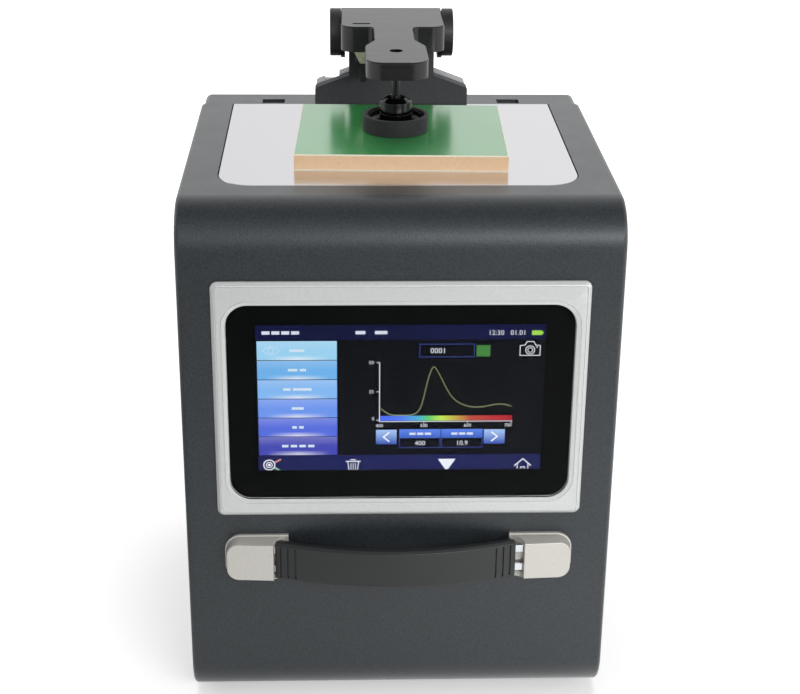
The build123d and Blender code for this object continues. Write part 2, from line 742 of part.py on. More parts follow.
with BuildPart() as handle_strap:
    extrude(at_z(strap_z) * strap_layer(0, strap_thickness), amount=strap_height / 2, both=True)
    front_rims = handle_strap.edges().filter_by(
        lambda rim: rim.length > 0.9 * strap_length and rim.center().Y < front_y - strap_end_reach)
    chamfer(front_rims.sort_by(lambda rim: rim.center().Y)[:2], strap_bevel)
    # ends follow the scooped caps
    for side in (-1, 1):
        end_x = side * (cove_x + strap_shift) + strap_shift
        with BuildSketch(at_z(strap_z)):
            with Locations((end_x + side * 8, front_y - cove_reach)):
                Rectangle(16, 3 * cove_radius)
            with Locations((end_x, front_y - cove_reach)):
                Circle(cove_radius - slide_gap, mode=Mode.SUBTRACT)
        extrude(amount=strap_height, both=True, mode=Mode.SUBTRACT)
    # three grooves towards each end, cut square to the bowed face
    groove_angle = degrees(groove_pitch / strap_radius)
    end_angle = degrees(strap_slope) - degrees(3.4 / strap_radius)
    for side in (-1, 1):
        for step in range(3):
            turn = side * (end_angle - step * groove_angle)
            place = Plane(origin=(strap_shift, strap_centre_y, strap_z)).rotated((0, 0, turn))
            with BuildSketch(place):
                with Locations((0, -strap_radius)):
                    Rectangle(groove_width, 2 * groove_depth)
            extrude(amount=strap_height / 2 - 1.5 * strap_bevel, both=True, mode=Mode.SUBTRACT)
    # slot in the mid plane for the spring band
    band_depth = (strap_thickness - band_thickness) / 2
    extrude(at_z(strap_z) * strap_layer(band_depth, band_thickness), amount=band_half_height, both=True,
            mode=Mode.SUBTRACT)
handle_strap.part.label = "handle_strap"
export_step(handle_strap.part, "parts/handle_strap.step")

with BuildPart() as strap_band:
    extrude(at_z(strap_z) * strap_layer(band_depth, band_thickness), amount=band_half_height, both=True)
    for side in (-1, 1):
        # flat end that runs on under the cap, slotted for the two studs
        root = strap_half - 0.6
        reach = band_end_reach
        with BuildSketch(at_y(front_y - reach + band_thickness / 2)):
            with Locations((strap_shift + side * (root + band_end) / 2, strap_z)):
                Rectangle(band_end - root, 2 * band_half_height)
        extrude(amount=band_thickness)
        with BuildSketch(at_y(front_y)):
            with Locations((strap_shift + side * (root - 3 + band_stop) / 2, strap_z)):
                RectangleRounded(band_stop - root + 3, 2 * stud_radius + 0.6, 1.5)
        extrude(amount=3 * strap_end_reach, mode=Mode.SUBTRACT)
strap_band.part.label = "strap_band"
export_step(strap_band.part, "parts/strap_band.step")

# ---------------------------------------------------------------- clamp bracket
lug_radius = 7.0
bush_wall = 1.2
flange_thickness = ear_half_width - ear_wall - post_half_width - 0.2
rear_plate_depth = rear_y - part_y - bracket_depth - 3.5
rear_plate_rise = 0.4
coil_turns = 5.25
coil_wire = 1.2
wire_sides = 8           # both springs' wire is drawn with eight flats
coil_radius = pin_radius + coil_wire / 2 + 0.35
coil_half = lug_gap_half - 3
coil_clear = 14.2        # cavity's front wall ahead of the pivot
lug_gap_floor = pivot_z - lug_radius - 8


def foot_profile(rise, half_width):
    """Front view of the bracket's foot: upright ends, then slopes that climb to the post."""
    with BuildSketch() as profile:
        with BuildLine():
            Polyline((-half_width, 0), (-half_width, bracket_shoulder + rise),
                     (-post_half_width, bracket_crest + rise), (post_half_width, bracket_crest + rise),
                     (half_width, bracket_shoulder + rise), (half_width, 0), close=True)
        make_face()
        fillet(profile.vertices().group_by(Axis.Y)[1], 2)
    return profile.sketch


with BuildPart() as clamp_bracket:
    extrude(Plane.XZ.offset(-part_y) * Pos(0, top_z) * foot_profile(0, bracket_half_width),
            amount=-bracket_depth)
    # post with two lugs, rounded about the pivot
    with BuildSketch(Plane.YZ.offset(-post_half_width)):
        with BuildLine():
            Polyline((part_y, top_z), (part_y, pivot_z - 5), (pivot_y - lug_radius, pivot_z))
            ThreePointArc((pivot_y - lug_radius, pivot_z), (pivot_y, pivot_z + lug_radius),
                          (pivot_y + lug_radius, pivot_z))
            Polyline((pivot_y + lug_radius, pivot_z), (part_y + post_depth, top_z + bracket_crest),
                     (part_y + post_depth, top_z), (part_y, top_z))
        make_face()
    extrude(amount=2 * post_half_width)
    with BuildSketch(at_y(part_y)):
        with Locations((0, lug_gap_floor + 20)):
            Rectangle(2 * lug_gap_half, 40)
    extrude(amount=-post_depth, mode=Mode.SUBTRACT)
    with BuildSketch(Plane.YZ.offset(-post_half_width)):
        with Locations((pivot_y, pivot_z)):
            Circle(pin_radius + running_gap + bush_wall)
    extrude(amount=2 * post_half_width, mode=Mode.SUBTRACT)
    with BuildSketch(at_z(top_z)):
        with Locations(*front_screws_at):
            Circle(screw_radius)
    extrude(amount=9, mode=Mode.SUBTRACT)
clamp_bracket.part.label = "clamp_bracket"
export_step(clamp_bracket.part, "parts/clamp_bracket.step")

with BuildPart() as bracket_rear_plate:
    extrude(Plane.XZ.offset(-(part_y + bracket_depth)) * Pos(0, top_z)
            * foot_profile(rear_plate_rise, bracket_half_width - 0.8), amount=-rear_plate_depth)
    # clears the post, and leaves a cable notch in the left slope
    with BuildSketch(at_z(top_z)):
        with Locations((0, part_y + post_depth / 2)):
            Rectangle(2 * post_half_width, post_depth)
    extrude(amount=2 * bracket_crest, mode=Mode.SUBTRACT)
    notch_x = -(bracket_half_width + post_half_width) / 2
    with BuildSketch(at_y(part_y + bracket_depth)):
        with Locations((notch_x, top_z + bracket_crest + rear_plate_rise)):
            Rectangle(cable_notch_width, 2 * cable_notch_depth)
    extrude(amount=-rear_plate_depth, mode=Mode.SUBTRACT)
    with BuildSketch(at_z(top_z)):
        with Locations(*rear_screws_at):
            Circle(screw_radius)
    extrude(amount=9, mode=Mode.SUBTRACT)
bracket_rear_plate.part.label = "bracket_rear_plate"
export_step(bracket_rear_plate.part, "parts/bracket_rear_plate.step")

with BuildPart() as backing_plate:
    with BuildSketch(at_z(top_z - cover_wall)):
        with Locations((0, part_y + lip_length + 0.5 + backing_depth / 2)):
            Rectangle(2 * bracket_half_width, backing_depth)
        with Locations(*bracket_screws_at):
            Circle(screw_radius + slide_gap, mode=Mode.SUBTRACT)
    extrude(amount=-backing_thickness)
backing_plate.part.label = "backing_plate"
export_step(backing_plate.part, "parts/backing_plate.step")

with BuildPart() as bracket_screws:
    seat_z = top_z - cover_wall - backing_thickness
    with BuildSketch(at_z(seat_z)):
        with Locations(*bracket_screws_at):
            Circle(1.9)
    extrude(amount=-screw_head_height)
    with BuildSketch(at_z(seat_z)):
        with Locations(*bracket_screws_at):
            Circle(screw_radius)
    extrude(amount=cover_wall + backing_thickness + 8)
bracket_screws.part.label = "bracket_screws"
export_step(bracket_screws.part, "parts/bracket_screws.step")

with BuildPart() as hinge_bushes:
    for side in (-1, 1):
        with BuildSketch(Plane.YZ.offset(side * (post_half_width + flange_thickness / 2))):
            with Locations((pivot_y, pivot_z)):
                Circle(lug_radius)
                Circle(pin_radius + running_gap, mode=Mode.SUBTRACT)
        extrude(amount=flange_thickness / 2, both=True)
        with BuildSketch(Plane.YZ.offset(side * (lug_gap_half + post_half_width) / 2)):
            with Locations((pivot_y, pivot_z)):
                Circle(pin_radius + running_gap + bush_wall)
                Circle(pin_radius + running_gap, mode=Mode.SUBTRACT)
        extrude(amount=(post_half_width - lug_gap_half) / 2, both=True)
hinge_bushes.part.label = "hinge_bushes"
export_step(hinge_bushes.part, "parts/hinge_bushes.step")

with BuildPart() as hinge_pin:
    with BuildSketch(Plane.YZ):
        with Locations((pivot_y, pivot_z)):
            Circle(pin_radius)
    extrude(amount=ear_half_width + pin_cover_thickness - 2, both=True)
    chamfer(hinge_pin.edges().filter_by(GeomType.CIRCLE), 0.5)
hinge_pin.part.label = "hinge_pin"
export_step(hinge_pin.part, "parts/hinge_pin.step")

coil_frame = Plane(origin=(-coil_half, pivot_y, pivot_z), x_dir=(0, 1, 0), z_dir=(1, 0, 0))
coil_path = coil_frame * Helix(pitch=2 * coil_half / coil_turns, height=2 * coil_half, radius=coil_radius)
with BuildPart() as torsion_spring:
    with BuildSketch(Plane(origin=coil_path @ 0, z_dir=coil_path % 0)):
        RegularPolygon(coil_wire / 2, wire_sides)
    sweep(path=coil_path, is_frenet=True)
    # one leg stands on the floor of the lug gap, the other reaches forward under the arm
    for end, heading, length in ((0, -1, pivot_z - lug_gap_floor), (1, 1, coil_clear)):
        with BuildSketch(Plane(origin=coil_path @ end, z_dir=(coil_path % end) * heading)):
            RegularPolygon(coil_wire / 2, wire_sides)
        extrude(amount=length - slide_gap)
torsion_spring.part.label = "torsion_spring"
export_step(torsion_spring.part, "parts/torsion_spring.step")

# ---------------------------------------------------------------- clamp arm
lobe_front = port_y - lobe_reach
lobe_rear = port_y + 13.0
neck_front = port_y + 27.0
lobe_corner = 10.0
ear_corner = 8.5
ear_front_y = pivot_y - ear_front
tail_y = pivot_y + arm_tail
cavity_half = ear_half_width - ear_wall
boss_round = 15.6
bush_recess = 2.4
lever_x = -18.8
lever_y = ear_front_y + 9
lever_sheet = 1.6
lever_half_width = 5.2
lever_sink = 1.4         # lever's tab below the arm's top
lever_drop = 9.0         # lever's tip below the ear
slot_relief = 0.6        # slot's mouth round the tab


def arm_outline(with_lobe):
    """Clamp arm seen from above; the ears alone when with_lobe is false."""
    with BuildSketch() as outline:
        with Locations((0, (ear_front_y + tail_y) / 2)):
            Rectangle(2 * ear_half_width, tail_y - ear_front_y)
        fillet(outline.vertices().group_by(Axis.Y)[0], ear_corner)
        if with_lobe:
            with BuildLine():
                Polyline((-neck_half_width, ear_front_y + 1), (-neck_half_width, neck_front),
                         (-lobe_half_width, lobe_rear), (-lobe_half_width, lobe_front),
                         (lobe_half_width, lobe_front), (lobe_half_width, lobe_rear),
                         (neck_half_width, neck_front), (neck_half_width, ear_front_y + 1), close=True)
            make_face()
            for depth, rounding in ((lobe_front, lobe_corner), (lobe_rear, 7), (neck_front, 12),
                                    (ear_front_y, 3.5)):
                corners = outline.vertices().filter_by(
                    lambda corner: abs(corner.Y - depth) < 0.1 and abs(corner.X) < lobe_half_width + 1)
                fillet(corners, rounding)
    return outline.sketch


with BuildPart() as clamp_arm:
    extrude(at_z(arm_top) * arm_outline(True), amount=-arm_thickness)
    extrude(at_z(arm_top) * arm_outline(False), amount=-ear_thickness)
    top_rims = clamp_arm.faces().sort_by(Axis.Z)[-1].edges()
    chamfer(top_rims, 0.6)
    # side bosses around the hinge pin
    for side in (-1, 1):
        with BuildSketch(Plane.YZ.offset(side * (ear_half_width - ear_wall / 2))):
            with Locations((pivot_y, pivot_z)):
                Circle(boss_round)
            with Locations((pivot_y, pivot_z + 20)):
                Rectangle(40, 40 - 2 * (ear_thickness - (arm_top - pivot_z)), mode=Mode.SUBTRACT)
        extrude(amount=ear_wall / 2, both=True)
    # room for the post and its lugs, open behind and below
    with BuildSketch(at_z(arm_top - arm_skin)):
        with Locations((0, pivot_y - coil_clear + ear_front)):
            Rectangle(2 * cavity_half, 2 * ear_front)
    extrude(amount=-2 * boss_round, mode=Mode.SUBTRACT)
    with BuildSketch(Plane.YZ.offset(-ear_half_width)):
        with Locations((pivot_y, pivot_z)):
            Circle(pin_radius)
    extrude(amount=2 * ear_half_width, mode=Mode.SUBTRACT)
    # bore for the shaft bush, and the slot that takes the stop lever's tab
    with BuildSketch(at_z(arm_top)):
        with Locations((0, port_y)):
            Circle(bush_radius)
    extrude(amount=-arm_thickness, mode=Mode.SUBTRACT)
    with BuildSketch(at_z(arm_top)):
        with Locations((lever_x, lever_y)):
            Rectangle(2 * lever_half_width, lever_sheet)
    extrude(amount=-ear_thickness, mode=Mode.SUBTRACT)
    with BuildSketch(at_z(arm_top)):
        with Locations((lever_x, lever_y)):
            Rectangle(2 * lever_half_width, lever_sheet + 2 * slot_relief)
    extrude(amount=-lever_sink, mode=Mode.SUBTRACT)
clamp_arm.part.label = "clamp_arm"
export_step(clamp_arm.part, "parts/clamp_arm.step")


def pin_cover(side):
    """Round cover over a pin end, hollow where the pin stands out."""
    with BuildPart() as cover:
        with BuildSketch(Plane.YZ.offset(ear_half_width)):
            with Locations((pivot_y, pivot_z)):
                Circle(cover_radius)
        extrude(amount=pin_cover_thickness)
        fillet(cover.faces().sort_by(Axis.X)[-1].edges(), 0.8)
        with BuildSketch(Plane.YZ.offset(ear_half_width)):
            with Locations((pivot_y, pivot_z)):
                Circle(pin_radius)
        extrude(amount=pin_cover_thickness - 2, mode=Mode.SUBTRACT)
        if side < 0:
            mirror(about=Plane.YZ, mode=Mode.REPLACE)
    return cover


pin_cover_left = pin_cover(-1)
pin_cover_left.part.label = "pin_cover_left"
export_step(pin_cover_left.part, "parts/pin_cover_left.step")
pin_cover_right = pin_cover(1)
pin_cover_right.part.label = "pin_cover_right"
export_step(pin_cover_right.part, "parts/pin_cover_right.step")

bumper_shift = 1.2       # bumper's stem beside the lever's middle
bumper_radius = 3.4
bumper_length = 19.0

# stop: a folded steel lever under the left ear carries a bumper that meets the post
lever_place = Plane(origin=(lever_x, lever_y + lever_sheet / 2, 0), x_dir=(1, 0, 0), z_dir=(0, -1, 0))
with BuildPart() as stop_lever:
    with BuildSketch(lever_place):
        with BuildLine():
            Polyline((-lever_half_width, arm_top - lever_sink), (lever_half_width, arm_top - lever_sink),
                     (lever_half_width, ear_under), (bumper_shift + stop_width / 2, ear_under - lever_drop),
                     (bumper_shift - stop_width / 2, ear_under - lever_drop),
                     (-lever_half_width, ear_under), close=True)
        make_face()
    extrude(amount=lever_sheet)
stop_lever.part.label = "stop_lever"
export_step(stop_lever.part, "parts/stop_lever.step")

with BuildPart() as stop_bumper:
    with BuildSketch(at_y(part_y - 0.1)):
        with Locations((lever_x, ear_under - lever_drop)):
            Circle(bumper_radius)
        with Locations((lever_x + bumper_shift, ear_under - 2 - bumper_length / 2)):
            RectangleRounded(stop_width, bumper_length, 1.2)
        with Locations((lever_x, ear_under + 5)):
            Rectangle(20, 10, mode=Mode.SUBTRACT)
    extrude(amount=part_y - 0.1 - lever_y - lever_sheet / 2)
stop_bumper.part.label = "stop_bumper"
export_step(stop_bumper.part, "parts/stop_bumper.step")

# ---------------------------------------------------------------- press foot
hub_top = foot_z + hub_height
cup_under = foot_z + ring_lip
cup_top_floor = cup_under + cup_floor
cap_under = hub_top - hub_cap_height
cavity_radius = 5.4
head_radius = 5.0
head_height = 1.6
cavity_floor = cup_under + 1.0
washer_height = 0.5
spring_room = spring_solid + press_travel
head_under = cavity_floor + washer_height + spring_room
cavity_top = head_under + head_height + 0.3


def ring_block(outer, inner, low, high):
    """Ring or disc on the measuring axis, between two heights."""
    with Locations((0, port_y, low)):
        Cylinder(outer, high - low, align=(Align.CENTER, Align.CENTER, Align.MIN))
        if inner:
            Cylinder(inner, high - low, align=(Align.CENTER, Align.CENTER, Align.MIN), mode=Mode.SUBTRACT)


with BuildPart() as shaft_bush:
    ring_block(bush_radius, shaft_radius, arm_under, arm_top - bush_recess)
shaft_bush.part.label = "shaft_bush"
export_step(shaft_bush.part, "parts/shaft_bush.step")

with BuildPart() as press_shaft:
    ring_block(shaft_radius, 0, head_under + head_height, arm_top - bush_recess + 0.6)
    ring_block(head_radius, 0, head_under, head_under + head_height)
    chamfer(press_shaft.faces().sort_by(Axis.Z)[-1].edges(), 0.5)
press_shaft.part.label = "press_shaft"
export_step(press_shaft.part, "parts/press_shaft.step")

with BuildPart() as press_ring:
    with BuildSketch(Plane.XZ.offset(-port_y)):
        with BuildLine():
            Polyline((ring_radius - ring_wall, cup_under), (ring_radius - ring_wall, foot_z + ring_height),
                     (ring_radius - 0.5, foot_z + ring_height), (ring_radius, foot_z + ring_height - 0.5),
                     (ring_radius, foot_z + 0.4), (ring_radius - 0.4, foot_z),
                     (ring_radius - 2 * ring_wall, foot_z), (ring_radius - 2 * ring_wall, cup_under),
                     close=True)
        make_face()
    revolve(axis=Axis((0, port_y, 0), (0, 0, 1)))
press_ring.part.label = "press_ring"
export_step(press_ring.part, "parts/press_ring.step")

with BuildPart() as press_cup:
    cup_radius = ring_radius - ring_wall
    with BuildSketch(Plane.XZ.offset(-port_y)):
        with BuildLine():
            Polyline((0, cup_under), (cup_radius, cup_under), (cup_radius, foot_z + ring_height - 0.8),
                     (cup_radius - cup_wall, foot_z + ring_height - 0.8),
                     (cup_radius - cup_wall, cup_top_floor + 1.5),
                     (cup_radius - cup_wall - 1.5, cup_top_floor), (hub_radius, cup_top_floor),
                     (hub_radius, cap_under - hub_groove), (hub_neck_radius, cap_under - hub_groove),
                     (hub_neck_radius, cavity_top), (cavity_radius, cavity_top),
                     (cavity_radius, cavity_floor), (0, cavity_floor), close=True)
        make_face()
    revolve(axis=Axis((0, port_y, 0), (0, 0, 1)))
press_cup.part.label = "press_cup"
export_step(press_cup.part, "parts/press_cup.step")

with BuildPart() as hub_cap:
    with BuildSketch(Plane.XZ.offset(-port_y)):
        with BuildLine():
            Polyline((hub_neck_radius, cap_under), (hub_radius, cap_under), (hub_radius, hub_top - hub_cone),
                     (hub_crown_radius, hub_top), (shaft_radius + running_gap, hub_top),
                     (shaft_radius + running_gap, cavity_top), (hub_neck_radius, cavity_top), close=True)
        make_face()
    revolve(axis=Axis((0, port_y, 0), (0, 0, 1)))
hub_cap.part.label = "hub_cap"
export_step(hub_cap.part, "parts/hub_cap.step")

with BuildPart() as spring_washer:
    ring_block(cavity_radius - 0.2, shaft_radius, cavity_floor, cavity_floor + washer_height)
spring_washer.part.label = "spring_washer"
export_step(spring_washer.part, "parts/spring_washer.step")

spring_turns = 4.5
spring_radius = cavity_radius - spring_wire / 2 - 0.35
spring_rise = spring_room - spring_wire - 0.1
spring_start = cavity_floor + washer_height + spring_wire / 2 + 0.05
with BuildPart() as press_spring:
    with BuildLine() as spring_path:
        Helix(pitch=spring_rise / spring_turns, height=spring_rise, radius=spring_radius,
              center=(0, port_y, spring_start))
    with BuildSketch(Plane(origin=spring_path.line @ 0, z_dir=spring_path.line % 0)):
        RegularPolygon(spring_wire / 2, wire_sides)
    sweep(is_frenet=True)
press_spring.part.label = "press_spring"
export_step(press_spring.part, "parts/press_spring.step")

# ---------------------------------------------------------------- chassis and optics
flange_thick = 4.0                          # each half's flange
deck_z = sphere_z - flange_thick            # deck's top, under the sphere's flange
shelf_z = sphere_z - spectrometer_drop      # shelf's top
flange_radius = sphere_radius + sphere_wall + 7
flange_bolts = 4

board_tall = 120.0
standoff = 6.0
main_board_x = -(chassis_half_width + standoff)
main_board_z = shelf_z + 20
posts_at = [(port_y + side * (chassis_depth / 2 - 8), main_board_z + end * 50)
            for side in (-1, 1) for end in (-1, 1)]

with BuildPart() as chassis_frame:
    with BuildSketch(at_y(port_y - chassis_depth / 2)):
        with Locations((0, (floor_z + deck_z) / 2)):
            Rectangle(2 * chassis_half_width, deck_z - floor_z)
        with Locations((0, (floor_z + deck_z - sheet) / 2)):
            Rectangle(2 * (chassis_half_width - sheet), deck_z - sheet - floor_z, mode=Mode.SUBTRACT)
        with Locations((0, shelf_z - sheet / 2)):
            Rectangle(2 * chassis_half_width, sheet)
        with Locations((-chassis_half_width - 6, floor_z + sheet / 2),
                       (chassis_half_width + 6, floor_z + sheet / 2)):
            Rectangle(14, sheet)
    extrude(amount=-chassis_depth)
    with BuildSketch(at_z(deck_z)):
        with Locations((0, port_y)):
            Circle(sphere_radius + sphere_wall + 1)
    extrude(amount=-sheet, mode=Mode.SUBTRACT)
    with BuildSketch(Plane.YZ.offset(-chassis_half_width)):
        with Locations((port_y, (floor_z + shelf_z) / 2)):
            RectangleRounded(chassis_depth - 30, shelf_z - floor_z - 60, 8)
    extrude(amount=2 * chassis_half_width, mode=Mode.SUBTRACT)
    # pressed-in spacers for the main board
    with BuildSketch(Plane.YZ.offset(-chassis_half_width)):
        with Locations(*posts_at):
            RegularPolygon(3, 6)
    extrude(amount=-standoff)
chassis_frame.part.label = "chassis_frame"
export_step(chassis_frame.part, "parts/chassis_frame.step")

lamp_drop = 18.0          # side ports' axis below the sphere's centre
side_boss_radius = 11.0
side_bore = 7.0
view_boss_radius = 10.0
view_bore = 4.0
camera_width = 20.0
camera_depth = 12.0
lamp_radius = 2.95
barrel_radius = 9.0
barrel_bore = 6.5
lens_radius = 6.4
chip_height = 2.0
pcb_thickness = 1.6
grating_width = 24.0
grating_depth = 8.0
sensor_board_width = 56.0
sensor_board_height = 22.0
sensor_width = 28.0
sensor_height = 6.0
side_boss_reach = sphere_radius + sphere_wall + 5
view_boss_reach = sphere_radius + sphere_wall + 6
view_plane = Plane(origin=(0, port_y, sphere_z)).rotated((180 + view_tilt, 0, 0))

with BuildPart() as sphere_upper:
    with Locations((0, port_y, sphere_z)):
        Sphere(sphere_radius + sphere_wall)
        Cylinder(flange_radius, 2 * flange_thick)
        Cylinder(port_bore + 7, sphere_drop, align=(Align.CENTER, Align.CENTER, Align.MIN))
        Sphere(sphere_radius, mode=Mode.SUBTRACT)
        Cylinder(port_bore, sphere_drop, align=(Align.CENTER, Align.CENTER, Align.MIN), mode=Mode.SUBTRACT)
    split(bisect_by=at_z(sphere_z), keep=Keep.TOP)
sphere_upper.part.label = "sphere_upper"
export_step(sphere_upper.part, "parts/sphere_upper.step")

with BuildPart() as sphere_lower:
    with Locations((0, port_y, sphere_z)):
        Sphere(sphere_radius + sphere_wall)
        Cylinder(flange_radius, 2 * flange_thick)
    for side in (-1, 1):
        with BuildSketch(Plane.YZ.offset(side * side_boss_reach)):
            with Locations((port_y, sphere_z - lamp_drop)):
                Circle(side_boss_radius)
        extrude(amount=-side * side_boss_reach)
    with BuildSketch(view_plane):
        Circle(view_boss_radius)
    extrude(amount=view_boss_reach)
    with Locations((0, port_y, sphere_z)):
        Sphere(sphere_radius, mode=Mode.SUBTRACT)
    for side in (-1, 1):
        with BuildSketch(Plane.YZ.offset(side * side_boss_reach)):
            with Locations((port_y, sphere_z - lamp_drop)):
                Circle(side_bore)
        extrude(amount=-side * side_boss_reach / 2, mode=Mode.SUBTRACT)
    with BuildSketch(view_plane):
        Circle(view_bore)
    extrude(amount=view_boss_reach, mode=Mode.SUBTRACT)
    split(bisect_by=at_z(sphere_z), keep=Keep.BOTTOM)
sphere_lower.part.label = "sphere_lower"
export_step(sphere_lower.part, "parts/sphere_lower.step")

foot_screws_at = [(side * (chassis_half_width + 7.5), port_y + end * (chassis_depth / 2 - 12))
                  for side in (-1, 1) for end in (-1, 1)]
with BuildPart() as chassis_screws:
    with BuildSketch(at_z(floor_z + sheet)):
        with Locations(*foot_screws_at):
            Circle(screw_head_radius)
    extrude(amount=screw_head_height)
    with BuildSketch(at_z(sphere_z + flange_thick)):
        with Locations((0, port_y)):
            with PolarLocations(flange_radius - 3.5, flange_bolts, start_angle=45):
                Circle(screw_head_radius)
    extrude(amount=screw_head_height)
chassis_screws.part.label = "chassis_screws"
export_step(chassis_screws.part, "parts/chassis_screws.step")

reflector_length = 20.0
lamp_axis = Axis((0, port_y, sphere_z - lamp_drop), (1, 0, 0))
with BuildPart() as lamp_reflector:
    with BuildSketch(Plane(origin=(-side_boss_reach, port_y, sphere_z - lamp_drop), x_dir=(-1, 0, 0),
                           z_dir=(0, 1, 0))):
        with BuildLine():
            Polyline((0, 7.5), (0, side_boss_radius), (reflector_length, side_boss_radius),
                     (reflector_length, 3),
                     (reflector_length - 3, 3), (reflector_length - 8, 6), (0, 7.5))
        make_face()
    revolve(axis=lamp_axis)
lamp_reflector.part.label = "lamp_reflector"
export_step(lamp_reflector.part, "parts/lamp_reflector.step")

with BuildPart() as flash_lamp:
    with BuildSketch(Plane.YZ.offset(-side_boss_reach - 6)):
        with Locations((port_y, sphere_z - lamp_drop)):
            Circle(lamp_radius)
    extrude(amount=-reflector_length + 2)
    fillet(flash_lamp.faces().sort_by(Axis.X)[-1].edges(), 2.4)
flash_lamp.part.label = "flash_lamp"
export_step(flash_lamp.part, "parts/flash_lamp.step")

with BuildPart() as sample_camera:
    with BuildSketch(Plane.YZ.offset(side_boss_reach)):
        with Locations((port_y, sphere_z - lamp_drop)):
            RectangleRounded(camera_width, camera_width, 2)
    extrude(amount=camera_depth)
    with BuildSketch(Plane.YZ.offset(side_boss_reach)):
        with Locations((port_y, sphere_z - lamp_drop)):
            Circle(side_bore - 0.2)
    extrude(amount=-4)
    fillet(sample_camera.faces().sort_by(Axis.X)[0].edges(), 0.8)
sample_camera.part.label = "sample_camera"
export_step(sample_camera.part, "parts/sample_camera.step")

# lens barrel on the viewing axis, its lower end on the spectrometer's cover
housing_width = 100.0
housing_depth = 76.0
housing_height = 34.0
cover_plate = 2.5
housing_wall = 3.0
housing_top = shelf_z + housing_height
barrel_start = view_boss_reach
barrel_length = (sphere_z - housing_top - cover_plate) / cos(radians(view_tilt)) - barrel_start
with BuildPart() as lens_barrel:
    with BuildSketch(view_plane.offset(barrel_start)):
        Circle(barrel_radius)
        Circle(barrel_bore, mode=Mode.SUBTRACT)
    extrude(amount=barrel_length + 6)
    split(bisect_by=at_z(housing_top + cover_plate), keep=Keep.TOP)
lens_barrel.part.label = "lens_barrel"
export_step(lens_barrel.part, "parts/lens_barrel.step")

with BuildPart() as measuring_lens:
    lens_start = barrel_start + 3
    with BuildSketch(view_plane.offset(lens_start)):
        Circle(lens_radius)
    extrude(amount=3)
    fillet(measuring_lens.edges().filter_by(GeomType.CIRCLE), 1.2)
measuring_lens.part.label = "measuring_lens"
export_step(measuring_lens.part, "parts/measuring_lens.step")

view_y = port_y + (sphere_z - housing_top) * tan(radians(view_tilt))
with BuildPart() as spectrometer_housing:
    with BuildSketch(at_z(shelf_z)):
        with Locations((0, port_y)):
            RectangleRounded(housing_width, housing_depth, 4)
    extrude(amount=housing_height)
    with BuildSketch(at_z(shelf_z + housing_wall)):
        with Locations((0, port_y)):
            RectangleRounded(housing_width - 2 * housing_wall, housing_depth - 2 * housing_wall, 2)
            with GridLocations(housing_width - 10, housing_depth - 10, 2, 2):
                Circle(4.5, mode=Mode.SUBTRACT)
    extrude(amount=housing_height, mode=Mode.SUBTRACT)
    with BuildSketch(Plane.YZ.offset(housing_width / 2)):
        with Locations((port_y, shelf_z + housing_height / 2)):
            Rectangle(sensor_width + 2, sensor_height + 2)
    extrude(amount=-housing_wall, mode=Mode.SUBTRACT)
spectrometer_housing.part.label = "spectrometer_housing"
export_step(spectrometer_housing.part, "parts/spectrometer_housing.step")

with BuildPart() as spectrometer_cover:
    with BuildSketch(at_z(housing_top)):
        with Locations((0, port_y)):
            RectangleRounded(housing_width, housing_depth, 4)
        with Locations((0, view_y)):
            Circle(view_bore + 1, mode=Mode.SUBTRACT)
    extrude(amount=cover_plate)
spectrometer_cover.part.label = "spectrometer_cover"
export_step(spectrometer_cover.part, "parts/spectrometer_cover.step")

with BuildPart() as diffraction_grating:
    with BuildSketch(at_z(shelf_z + housing_wall)):
        with Locations(Location((-28, port_y - 8, 0), (0, 0, 20))):
            Rectangle(grating_depth, grating_width)
    extrude(amount=grating_width)
diffraction_grating.part.label = "diffraction_grating"
export_step(diffraction_grating.part, "parts/diffraction_grating.step")

with BuildPart() as sensor_board:
    with BuildSketch(Plane.YZ.offset(housing_width / 2)):
        with Locations((port_y, shelf_z + housing_height / 2)):
            Rectangle(sensor_board_width, sensor_board_height)
    extrude(amount=pcb_thickness)
    with BuildSketch(Plane.YZ.offset(housing_width / 2)):
        with Locations((port_y, shelf_z + housing_height / 2)):
            Rectangle(sensor_width, sensor_height)
    extrude(amount=-(housing_wall - 0.5))
sensor_board.part.label = "sensor_board"
export_step(sensor_board.part, "parts/sensor_board.step")

with BuildPart() as main_board:
    with BuildSketch(Plane.YZ.offset(main_board_x)):
        with Locations((port_y, main_board_z)):
            RectangleRounded(chassis_depth + 20, board_tall, 2)
    extrude(amount=-pcb_thickness)
    with BuildSketch(Plane.YZ.offset(main_board_x - pcb_thickness)):
        with Locations((port_y - 10, main_board_z + 10)):
            Rectangle(22, 22)
        with Locations((port_y + 25, main_board_z + 20), (port_y + 25, main_board_z)):
            Rectangle(12, 10)
        with Locations((port_y - 38, main_board_z - 20)):
            Rectangle(10, 30)
    extrude(amount=-chip_height)
    with BuildSketch(Plane.YZ.offset(main_board_x - pcb_thickness)):
        with Locations((port_y + 5, main_board_z - 35), (port_y + 22, main_board_z - 35)):
            Circle(5)
    extrude(amount=-12)
main_board.part.label = "main_board"
export_step(main_board.part, "parts/main_board.step")

with BuildPart() as battery_pack:
    with BuildSketch(at_z(floor_z)):
        with Locations((0, port_y)):
            RectangleRounded(battery_length, battery_depth, 4)
    extrude(amount=battery_height)
    fillet(battery_pack.faces().sort_by(Axis.Z)[-1].edges(), 3)
battery_pack.part.label = "battery_pack"
export_step(battery_pack.part, "parts/battery_pack.step")
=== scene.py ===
"""Looks of the benchtop colorimeter: softened metalwork, finishes, the display, light and camera."""
import json
import math
import bpy
from mathutils import Matrix, Vector


